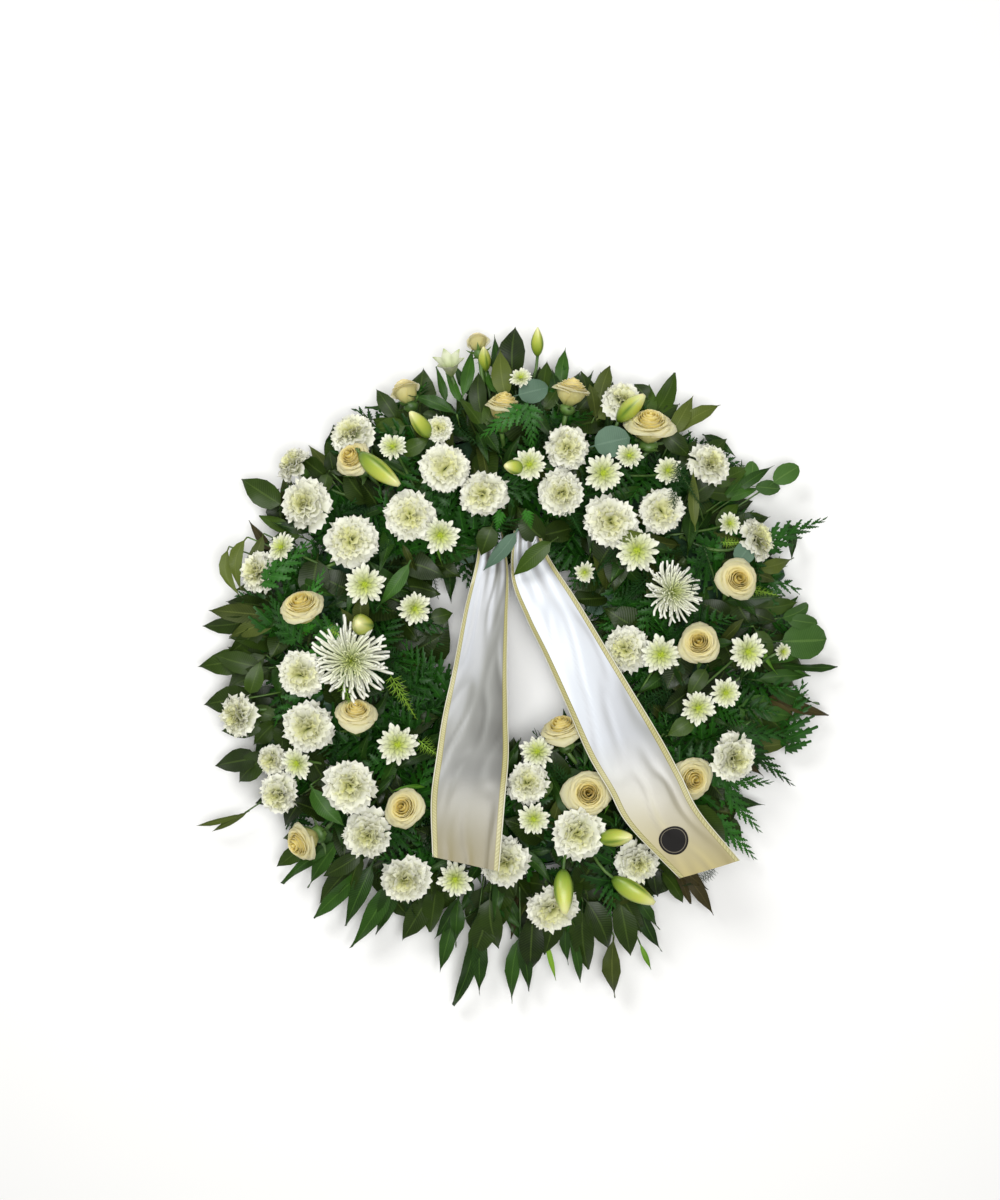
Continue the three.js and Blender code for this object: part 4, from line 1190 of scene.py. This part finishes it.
# Sprigs: kind, angle, radius and height of the tip, length, half width, leaves, fan, turn from outwards.
# Leaves: kind, then angle, radius and height of foot and of tip, half width, bulge to the left, roll.
# Span is the stretch of the ring, and tones are how light its sprigs may be.
greeneryPlans = {
    "greenery_upper_left": {
        "span": (109, 167), "tones": (0.1, 0.9),
        "sprigs": [
            ["salal", 148, 455, 48, 80, 19, 1, 0, 0], ["salal", 152, 408, 44, 60, 11, 3, 60, 0],
            ["salal", 138, 412, 58, 62, 14, 3, 70, 5], ["salal", 118, 416, 54, 62, 12, 3, 60, 5],
            ["salal", 126, 400, 60, 60, 12, 2, 50, 0], ["fern", 160, 330, 100, 95, 30, 2, 50, -60],
            ["fern", 152, 320, 104, 90, 27, 1, 0, -110],
        ],
        "leaves": [
            ["ruscus", 104, 335, 112, 113, 382, 106, 9, -3, 14],
            ["salal", 112, 355, 90, 107, 335, 84, 8, 0, 0],
            ["salal", 136, 360, 84, 142, 340, 92, 11, 0, 8], ["salal", 121, 315, 96, 112, 315, 104, 12, 0, 0],
            ["salal", 115, 345, 84, 123, 368, 68, 14, 0, -8],
            ["ruscus", 139, 190, 128, 163, 200, 120, 10, 4, 10],
            ["salal", 160, 130, 78, 149, 102, 66, 12, 0, 0], ["tuft", 172, 260, 128, 176, 232, 132, 10, 0, 0],
        ],
    },
    "greenery_top": {
        "span": (66, 109), "tones": (0.1, 1.0),
        "sprigs": [
            ["salal", 90, 455, 48, 92, 21, 1, 0, 0], ["ruscus", 94, 445, 50, 72, 8, 3, 34, 0],
            ["ruscus", 101, 436, 52, 78, 9, 2, 30, -5], ["ruscus", 80, 432, 50, 70, 10, 3, 46, 0],
            ["olive", 72, 420, 56, 66, 13, 3, 44, 5], ["salal", 98, 392, 72, 70, 13, 3, 50, 0],
            ["salal", 84, 408, 60, 62, 12, 3, 60, 0], ["fern", 94, 270, 124, 70, 22, 2, 60, 150],
        ],
        "leaves": [
            ["olive", 92, 345, 96, 93, 418, 86, 15, 3, 0], ["silver", 91, 350, 104, 83, 366, 102, 17, 0, 6],
            ["silver", 71, 295, 114, 62, 332, 118, 22, 0, 0], ["fern", 96, 195, 124, 99, 168, 116, 11, 0, 0],
            ["fern", 86, 195, 124, 83, 170, 114, 11, 0, 0], ["sage", 89, 168, 124, 112, 120, 104, 11, 3, 8],
            ["salal", 70, 166, 126, 92, 104, 106, 13, -3, -8],
            ["salal", 100, 180, 120, 110, 140, 106, 15, 0, 0],
            ["plume", 72, 215, 120, 60, 182, 110, 14, 0, 0],
        ],
    },
    "greenery_upper_right": {
        "span": (26, 66), "tones": (0.2, 1.0),
        "sprigs": [
            ["salal", 60, 450, 50, 78, 16, 3, 44, 0], ["olive", 52, 452, 54, 84, 12, 2, 26, -8],
            ["salal", 45, 420, 52, 70, 14, 3, 54, -6], ["ruscus", 36, 448, 46, 76, 8, 3, 26, 0],
            ["coin", 33, 475, 48, 52, 15, 1, 0, 0], ["coin", 35, 445, 50, 44, 12, 2, 80, 0],
            ["salal", 38, 416, 54, 66, 13, 3, 70, -12], ["salal", 28, 405, 48, 70, 13, 3, 60, -10],
            ["plume", 34, 290, 124, 90, 16, 2, 40, -110],
        ],
        "leaves": [
            ["salal", 57, 365, 96, 48, 362, 86, 14, 0, 8], ["olive", 34, 295, 124, 46, 348, 124, 8, 3, 10],
            ["olive", 50, 205, 130, 42, 240, 132, 9, 0, 14], ["salal", 62, 395, 74, 66, 408, 62, 12, 0, 0],
            ["plume", 46, 225, 116, 44, 150, 92, 18, 0, 0], ["plume", 30, 215, 112, 22, 148, 84, 18, 0, 0],
        ],
    },
    "greenery_right": {
        "span": (345, 386), "tones": (0.1, 0.9),
        "sprigs": [
            ["fern", 23, 468, 56, 128, 30, 1, 0, 0], ["fern", 23, 405, 50, 95, 22, 2, 46, -6],
            ["olive", 18, 412, 52, 62, 11, 3, 60, -6], ["salal", 10, 402, 50, 62, 12, 3, 60, 0],
            ["coin", 7, 428, 50, 54, 13, 2, 36, 0], ["coin", 2, 438, 46, 78, 27, 1, 0, 0],
            ["ruscus", 357, 455, 42, 92, 8, 3, 24, 0], ["brown", 348, 452, 36, 78, 10, 3, 36, -5],
            ["ruscus", 353, 436, 50, 90, 11, 2, 22, 0], ["ruscus", 346, 408, 50, 72, 11, 3, 46, 0],
            ["plume", 14, 262, 126, 78, 13, 2, 36, -104],
        ],
        "leaves": [
            ["salal", 6, 330, 92, 358, 356, 84, 13, 0, 8], ["silver", 21, 320, 112, 25, 356, 116, 15, 0, 0],
            ["salal", 356, 262, 124, 345, 242, 126, 12, 0, 8],
            ["salal", 347, 330, 70, 340, 366, 56, 11, 0, 0],
            ["plume", 8, 235, 108, 352, 175, 88, 18, 0, 0],
            ["tuft", 16, 320, 108, 12, 370, 98, 13, 0, 0], ["tuft", 28, 320, 108, 25, 352, 106, 11, 0, 0],
        ],
    },
    "greenery_lower_right": {
        "span": (298, 345), "tones": (0.0, 0.6),
        "sprigs": [
            ["fern", 338, 432, 50, 115, 27, 2, 36, 0], ["fern", 328, 430, 46, 105, 25, 2, 44, 0],
            ["fern", 319, 446, 40, 100, 22, 1, 0, 0], ["salal", 317, 398, 78, 88, 23, 1, 0, -10],
            ["brown", 307, 468, 36, 78, 10, 3, 30, 0], ["salal", 303, 428, 42, 64, 12, 3, 50, 0],
            ["salal", 312, 400, 40, 70, 16, 2, 50, 0],
        ],
        "leaves": [
            ["ruscus", 319, 225, 114, 322, 278, 116, 13, 0, 10],
            ["salal", 340, 262, 122, 331, 236, 124, 13, 0, 6],
            ["salal", 330, 232, 108, 318, 200, 104, 13, 0, 0],
            ["plume", 345, 215, 104, 326, 172, 90, 16, 0, 0],
        ],
    },
    "greenery_bottom": {
        "span": (246, 298), "tones": (0.0, 0.5),
        "sprigs": [
            ["salal", 293, 462, 42, 98, 19, 2, 20, 0], ["salal", 285, 464, 38, 100, 19, 2, 24, 0],
            ["olive", 286, 512, 34, 92, 13, 1, 0, -14], ["ruscus", 296, 474, 36, 80, 9, 3, 26, 0],
            ["ruscus", 281, 480, 32, 80, 8, 3, 22, 0], ["salal", 274, 456, 38, 96, 19, 2, 20, 0],
            ["ruscus", 271, 502, 30, 104, 13, 2, 14, 0], ["ruscus", 262, 512, 30, 124, 14, 2, 12, 0],
            ["salal", 264, 442, 48, 96, 20, 2, 26, 0], ["ruscus", 257, 468, 36, 96, 11, 3, 24, 0],
            ["salal", 279, 432, 50, 80, 20, 2, 40, 0], ["salal", 251, 440, 46, 90, 18, 2, 30, 0],
        ],
        "leaves": [
            ["lime", 293, 450, 44, 293, 492, 32, 4, 0, 0], ["lime", 276, 410, 48, 277, 472, 30, 4, 0, 0],
            ["salal", 284, 175, 108, 281, 205, 116, 10, 0, 0],
            ["plume", 292, 200, 104, 280, 130, 84, 16, 0, 0],
        ],
    },
    "greenery_lower_left": {
        "span": (167, 246), "tones": (0.0, 0.6),
        "sprigs": [
            ["ruscus", 243, 480, 38, 120, 15, 2, 16, 4], ["ruscus", 236, 476, 36, 110, 16, 2, 20, 0],
            ["salal", 233, 452, 44, 86, 14, 3, 40, 0], ["salal", 222, 456, 38, 66, 13, 3, 46, 0],
            ["salal", 214, 430, 40, 66, 16, 2, 50, 0], ["salal", 203, 455, 40, 76, 20, 2, 30, 0],
            ["olive", 210, 518, 30, 74, 5, 2, 16, -6], ["salal", 196, 430, 42, 72, 14, 3, 50, 0],
            ["salal", 190, 446, 40, 84, 20, 1, 0, 0], ["salal", 186, 444, 34, 100, 19, 2, 34, 18],
            ["salal", 179, 434, 44, 92, 16, 2, 30, 26], ["ruscus", 227, 468, 34, 100, 14, 2, 24, 0],
            ["salal", 184, 425, 50, 80, 18, 2, 40, 0], ["olive", 176, 430, 56, 100, 15, 2, 26, 14],
            ["salal", 171, 412, 54, 70, 15, 3, 50, 6], ["fern", 180, 330, 106, 90, 28, 2, 60, 20],
            ["tuft", 200, 205, 124, 60, 16, 2, 70, 120],
        ],
        "leaves": [
            ["olive", 160, 425, 70, 169, 386, 80, 10, -14, 0],
            ["olive", 157, 405, 78, 168, 386, 86, 11, -13, 6],
            ["olive", 155, 386, 82, 165, 392, 84, 9, 4, 0],
            ["ruscus", 213, 335, 114, 226, 335, 108, 14, -6, -14],
            ["salal", 190, 375, 90, 182, 352, 98, 13, 0, 8], ["tuft", 190, 175, 118, 214, 165, 104, 16, 0, 0],
            ["tuft", 222, 180, 116, 236, 178, 110, 15, 0, 0],
            ["plume", 186, 180, 118, 202, 142, 92, 18, 0, 0],
        ],
    },
}


def sprigRows(plan, tones, dice):  # leaves fanned from one shoot
    kind, angle, radius, height, length, halfWidth, count, fan, turn = plan
    sprig = greenery["sprig"]
    heading = math.radians(angle + turn)
    way = Vector((math.cos(heading), math.sin(heading), -sprig["droop"]))
    tip = polar(angle, radius, height)
    foot = tip - way * length * mm
    rows = []
    for k in range(count):
        share = 2 * k / (count - 1) - 1 if count > 1 else 0.0
        lag = abs(share) if count > 2 else 0.5 * k
        swing = Matrix.Rotation(math.radians(0.5 * fan * share + dice.uniform(-4, 4) * (count > 1)), 3, "Z")
        reach = (swing @ way) * length * mm * (1 - sprig["shorter"] * lag)
        reach = reach * (dice.uniform(0.9, 1.04) if lag else 1)
        start = foot - way * length * mm * sprig["lower"] * lag
        width = halfWidth * mm * (dice.uniform(0.82, 1.0) if share else 1)
        bulge = dice.uniform(-0.05, 0.05) * length * mm
        sag, roll = dice.uniform(*sprig["sag"]) * mm, dice.uniform(-sprig["roll"], sprig["roll"])
        tone = dice.uniform(*tones)
        rows.append(leafRow(kind, start, start + reach, width, bulge, sag, roll, tone, dice))
    return rows, foot


def clearOfHeads(points, margin):
    for at, radius, way in heads:
        for p in points:
            away = p - at
            height = away.dot(way)
            if -0.3 * radius < height < radius * 1.2 and (away - way * height).length < radius * margin:
                return False
    return True


def fillRows(start, end, dice):
    fill = greenery["fill"]
    rows = []
    for _ in range(round((end - start) * fill["perDegree"])):
        kind = dice.choices(list(fill["kinds"]), list(fill["kinds"].values()))[0]
        for _ in range(fill["tries"]):
            angle, across = dice.uniform(start, end), dice.uniform(*fill["across"])
            radius = mound["mean"] + across * mound["reach"]
            deep = dice.uniform(*fill["depth"]) * (1.2 if kind in ("salal", "silver") else 0.85)
            tip = polar(angle, radius, moundHeight(radius) - deep)
            length = dice.uniform(*fill["length"]) * fill["longer"].get(kind, 1) * mm
            spread = 35 + 90 * (1 - min(1, abs(across) * 1.6))  # any way on the crest, outwards at the sides
            heading = math.radians(angle + (0 if across > 0 else 180) + dice.gauss(0, spread))
            way = Vector((math.cos(heading), math.sin(heading), dice.uniform(*fill["rise"]))).normalized()
            foot = tip - way * length
            foot.z = max(foot.z, fill["lowest"] * mm)
            middle = (foot + tip) / 2
            wide = 1.35 if kind in frondForms else 0.95
            if clearOfHeads([tip, (tip + middle) / 2], wide) and clearOfHeads([middle], wide - 0.45):
                bulge, sag = dice.uniform(-0.1, 0.1) * length, dice.uniform(0, 0.07) * length
                # low tones here are painted shade between the heads
                tone, roll = dice.uniform(*fill["tone"]), dice.uniform(-fill["roll"], fill["roll"])
                rows.append(leafRow(kind, foot, tip, None, bulge, sag, roll, tone, dice))
                break
    return rows


def skirtRows(start, end, dice):
    skirt = greenery["skirt"]
    rows = []
    for _ in range(round((end - start) * skirt["perDegree"])):
        kind = dice.choices(list(skirt["kinds"]), list(skirt["kinds"].values()))[0]
        angle, length = dice.uniform(start, end), dice.uniform(*skirt["length"])
        radius, height = dice.uniform(*skirt["radius"]), dice.uniform(*skirt["height"])
        heading = math.radians(angle + dice.uniform(-skirt["turn"], skirt["turn"]))
        tip = polar(angle, radius, height)
        way = Vector((math.cos(heading), math.sin(heading), dice.uniform(*skirt["rise"])))
        foot = tip - way * length * mm
        foot.z = max(foot.z, skirt["lowest"] * mm)
        bulge = dice.uniform(-0.07, 0.07) * length * mm
        roll, tone = dice.uniform(-skirt["roll"], skirt["roll"]), dice.uniform(*skirt["tone"])
        rows.append(leafRow(kind, foot, tip, None, bulge, skirt["sag"] * mm, roll, tone, dice))
    return rows


def makeGreenery():
    for number, (name, plan) in enumerate(greeneryPlans.items()):
        dice = random.Random(greenery["seed"] + number)
        start, end = plan["span"]
        rows, shoots = [], []
        for sprig in plan["sprigs"]:
            made, foot = sprigRows(sprig, plan["tones"], dice)
            rows += made
            shoots.append((sprig[1], foot))
        for kind, a0, r0, z0, a1, r1, z1, halfWidth, bulge, roll in plan["leaves"]:
            foot, tip = polar(a0, r0, z0), polar(a1, r1, z1)
            sag, tone = greenery["leaf"]["sag"] * mm, dice.uniform(*greenery["leaf"]["tone"])
            rows.append(leafRow(kind, foot, tip, halfWidth * mm, bulge * mm, sag, roll, tone, dice))
            shoots.append((a0, foot))
        rows += fillRows(start, end, dice) + skirtRows(start, end, dice)
        shapes = plantLeaves(rows)
        for angle, foot in shoots:  # a stalk from the twig to the foot of each sprig and leaf
            radius = min((foot - ringCentre).xy.length / mm, greenery["twigRadius"])
            root = polar(angle, radius, greenery["twigHeight"])
            path = arcPath(root, Vector((0, 0, (foot.z - root.z) * 0.9)), foot, 4)
            shapes.append(tubeShape(path, greenery["stalkThick"] * mm, 4, stemPaint))
        angles = [start + (end - start) * k / 12 for k in range(13)]
        twig = [polar(angle, greenery["twigRadius"], greenery["twigHeight"]) for angle in angles]
        shapes.append(tubeShape(twig, greenery["twigThick"] * mm, 6, stemPaint))
        addPiece(name + "_leaves", joined(shapes), plantMaterials, "leaf_green", name)


makeGreenery()
for group in leafKinds.values():
    dropVariants(group)
print("greenery planted")

# Ribbons: left and right edges from the pinned end to the free end, as x, y and height about the ring's axis,
# the share of the length where a painted warm reflection starts to tint the satin cream, and its tone at the
# two ends: painted light, which falls to painted shade down the left ribbon.
ribbonPlans = {
    "ribbon_left": {
        "left": [[-52, 181, 80], [-54, 129, 94], [-71, 57, 96], [-86, -22, 104],
                 [-100, -87, 120], [-108, -141, 138], [-115, -200, 151], [-113, -275, 154]],
        "right": [[-20, 178, 76], [-10, 114, 86], [-11, 46, 90], [-12, -22, 98],
                  [-11, -87, 114], [-10, -141, 134], [-15, -200, 150], [-23, -295, 152]],
        "paintedWarmFrom": 0.78, "light": (0.78, 0.27),
    },
    "ribbon_right": {
        "left": [[-2, 180, 76], [-6, 104, 84], [14, 46, 88], [39, -6, 96], [68, -72, 118],
                 [97, -139, 143], [124, -185, 152], [151, -233, 155], [220, -305, 150]],
        "right": [[30, 178, 82], [44, 133, 96], [84, 71, 106], [125, 3, 122], [161, -57, 134],
                  [196, -116, 148], [222, -165, 155], [247, -214, 158], [302, -280, 152]],
        "paintedWarmFrom": 0.6, "light": (0.68, 0.62),
    },
}
# Sheen is what the satin's painted light gains as a face leans to +X and to +Y.
ribbon = {
    "width": 0.1, "thick": 0.45 * mm, "across": 28, "along": 140, "pleat": 2.6 * mm, "crown": 5.0 * mm,
    "fold": 1.6 * mm, "crease": 0.8 * mm, "gathered": 0.3, "sheen": (-0.9, -0.65),
    "restsOn": ["rose_13_bloom", "foam_ring"],
}


def rail(points, share):  # smooth curve through the points
    places = [Vector((x * mm + ringCentre.x, y * mm + ringCentre.y, z * mm)) for x, y, z in points]
    s = share * (len(places) - 1)
    i = min(int(s), len(places) - 2)
    t = s - i
    p1, p2 = places[i], places[i + 1]
    p0 = places[i - 1] if i else p1 - (p2 - p1)
    p3 = places[i + 2] if i + 2 < len(places) else p2 + (p2 - p1)
    bent = 2 * p0 - 5 * p1 + 4 * p2 - p3
    return 0.5 * (2 * p1 + (p2 - p0) * t + bent * t * t + (3 * p1 - p0 - 3 * p2 + p3) * t ** 3)


def onRibbon(plan, u, t):
    left, right = rail(plan["left"], t), rail(plan["right"], t)
    before, after = max(0, t - 0.01), min(1, t + 0.01)
    ahead = sum((rail(plan[side], after) - rail(plan[side], before) for side in ("left", "right")), Vector())
    normal = ahead.cross(left - right).normalized()
    return left.lerp(right, (u + 1) / 2), normal if normal.z > 0 else -normal


def clothPlace(plan, number, u, t, lift=0.0):  # gathered at the pin, crowned, with soft folds
    point, normal = onRibbon(plan, u, t)
    gather = max(0.0, 1 - t / ribbon["gathered"]) ** 1.5
    pleat = ribbon["pleat"] * gather * math.sin(3.2 * math.pi * u + number)
    crown = ribbon["crown"] * (1 - u * u) * (0.4 + 0.6 * math.sin(math.pi * t))
    fold = noise.noise(Vector((1.1 * u + 7 * number, 4.5 * t, 0.3)))
    fold += 0.4 * noise.noise(Vector((2.0 * u + t * 5, 10 * t, 4.7)))
    crease = abs(noise.noise(Vector((1.6 * u + 3.1 * t, 4.2 * t + number, 9.1))))
    rough = (1 - 0.6 * gather) * (ribbon["fold"] * fold - ribbon["crease"] * math.exp(-(crease / 0.16) ** 2))
    return point + normal * (pleat + crown + rough + lift)


# painted sheen and shade for the satin's tone channel, from the slopes of its faces
def paintedSheenOn(shape, light, rows, columns):  # how far the face turns to the light, 0 grey to 1 bright
    grid = shape["points"][:rows * columns].reshape(rows, columns, 3)
    normal = np.cross(np.gradient(grid, axis=0), np.gradient(grid, axis=1))
    slopes = normal[..., :2] / normal[..., 2:]
    value = np.linspace(*light, rows)[:, None] + slopes @ np.array(ribbon["sheen"])
    value = np.clip(value, 0, 1)
    return np.concatenate([value.ravel(), value[1:-1, 1:-1].ravel()])


def makeRibbons():
    for number, (name, plan) in enumerate(ribbonPlans.items()):
        alongs = np.linspace(0, 1, ribbon["along"] + 1)
        shape = thinShape(ribbon["across"], alongs, partial(clothPlace, plan, number), ribbon["thick"])
        # the tone channel carries the painted sheen and shade
        shape["tone"] = paintedSheenOn(shape, plan["light"], ribbon["along"] + 1, ribbon["across"] + 1)
        # the rank channel carries the painted warm reflection towards the free end
        shape["rank"] = np.clip((shape["along"] - plan["paintedWarmFrom"]) / (1.04 - plan["paintedWarmFrom"]), 0, 1)
        piece = addPiece(name + "_satin", shape, [satin], "ribbon_satin", name)
        middle = [clothPlace(plan, number, 0, t) for t in np.linspace(0, 1, 60)]
        length = sum((b - a).length for a, b in zip(middle, middle[1:]))
        print(name, "length", round(length, 3))


makeRibbons()
print("ribbons laid")

seal = {"radius": 20, "thick": 0.3, "lift": 0.25, "along": 0.925, "across": -0.21, "sides": 40,
        "rings": [0.25, 0.5, 0.7, 0.8, 0.88, 0.95, 1.0]}


def makeSeal():  # laid on the bow of the right ribbon and kept round along its surface
    face = partial(clothPlace, ribbonPlans["ribbon_right"], 1)
    u0, t0 = seal["across"], seal["along"]
    acrossStep = (face(u0 + 0.02, t0) - face(u0 - 0.02, t0)) / 0.04
    alongStep = (face(u0, t0 + 0.01) - face(u0, t0 - 0.01)) / 0.02
    first = acrossStep.normalized()
    second = (alongStep - first * alongStep.dot(first)).normalized()
    lean = alongStep.dot(first) / alongStep.dot(second)
    rings, shares = [], []
    for share, lift in [(s, 0) for s in seal["rings"]] + [(s, seal["thick"]) for s in seal["rings"][::-1]]:
        ring = []
        for k in range(seal["sides"]):
            a = 2 * math.pi * k / seal["sides"]
            x, y = seal["radius"] * mm * share * math.cos(a), seal["radius"] * mm * share * math.sin(a)
            u, t = u0 + (x - y * lean) / acrossStep.length, t0 + y / alongStep.dot(second)
            ring.append(face(u, t, (seal["lift"] + lift) * mm))
            shares.append(share)
        rings.append(ring[::-1])
    addPiece("round_seal_paper", loftShape(rings, along=shares), [sealPaper], "seal_paper", "round_seal")
    low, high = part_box("round_seal")
    print("seal is", round((face(u0, t0) - (low + high) / 2).length / mm, 1), "mm from its solid")


makeSeal()

for node, name in (("base_tray", "moulded green polypropylene"), ("foam_ring", "wet phenolic foam")):
    frame["nodes"][node].material_slots[0].material = plain[name]

# The camera looks straight down, with the wreath a little right of and below the middle of the frame, which
# is frameHeight tall at the height of the plane. Lights have a place, a power in watts and a size.
studio = {
    "floor": 6.0, "world": 0.26, "worldColour": "#fffdf8",
    "lights": {"key": ((-1.0, 1.5, 2.4), 32.0, 1.0), "top": ((0.2, -0.1, 3.0), 64.0, 1.3)},
    "aim": (0, 0, 0.1),
    "cameraHeight": 2.4, "frameHeight": 1.632, "plane": 0.13, "shift": (-21.8 * mm, 70.7 * mm), "sensor": 36,
}


def makeStudio():
    half = studio["floor"] / 2
    mesh = bpy.data.meshes.new("floor")
    corners = [(-half, -half, 0), (half, -half, 0), (half, half, 0), (-half, half, 0)]
    mesh.from_pydata(corners, [], [(0, 1, 2, 3)])
    mesh.materials.append(plain["pale studio paper"])
    floor = bpy.data.objects.new("floor", mesh)
    scene.collection.objects.link(floor)
    scene.world = bpy.data.worlds.new("studio")
    scene.world.use_nodes = True
    background = scene.world.node_tree.nodes["Background"]
    background.inputs["Color"].default_value = linear(studio["worldColour"])
    background.inputs["Strength"].default_value = studio["world"]
    for name, (at, power, size) in studio["lights"].items():
        light = bpy.data.lights.new(name, "AREA")
        light.energy = power
        light.size = size
        lamp = bpy.data.objects.new(name, light)
        lamp.location = at
        lamp.rotation_euler = (Vector(studio["aim"]) - Vector(at)).to_track_quat("-Z", "Y").to_euler()
        scene.collection.objects.link(lamp)


def makeCamera():
    data = bpy.data.cameras.new("camera")
    data.sensor_width = studio["sensor"]
    data.lens = studio["sensor"] * studio["cameraHeight"] / studio["frameHeight"]
    camera = bpy.data.objects.new("camera", data)
    x, y = studio["shift"]
    camera.location = (ringCentre.x + x, ringCentre.y + y, studio["plane"] + studio["cameraHeight"])
    scene.collection.objects.link(camera)
    scene.camera = camera


makeStudio()
makeCamera()
scene.view_settings.view_transform = "Standard"
print("studio set")

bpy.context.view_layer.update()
meshes = {item.name: item.data for item in scene.objects if item.type == "MESH"}
counts = {name: sum(len(face.vertices) - 2 for face in mesh.polygons) for name, mesh in meshes.items()}
print("triangles:", sum(counts.values()), "largest:", max((n, name) for name, n in counts.items()))
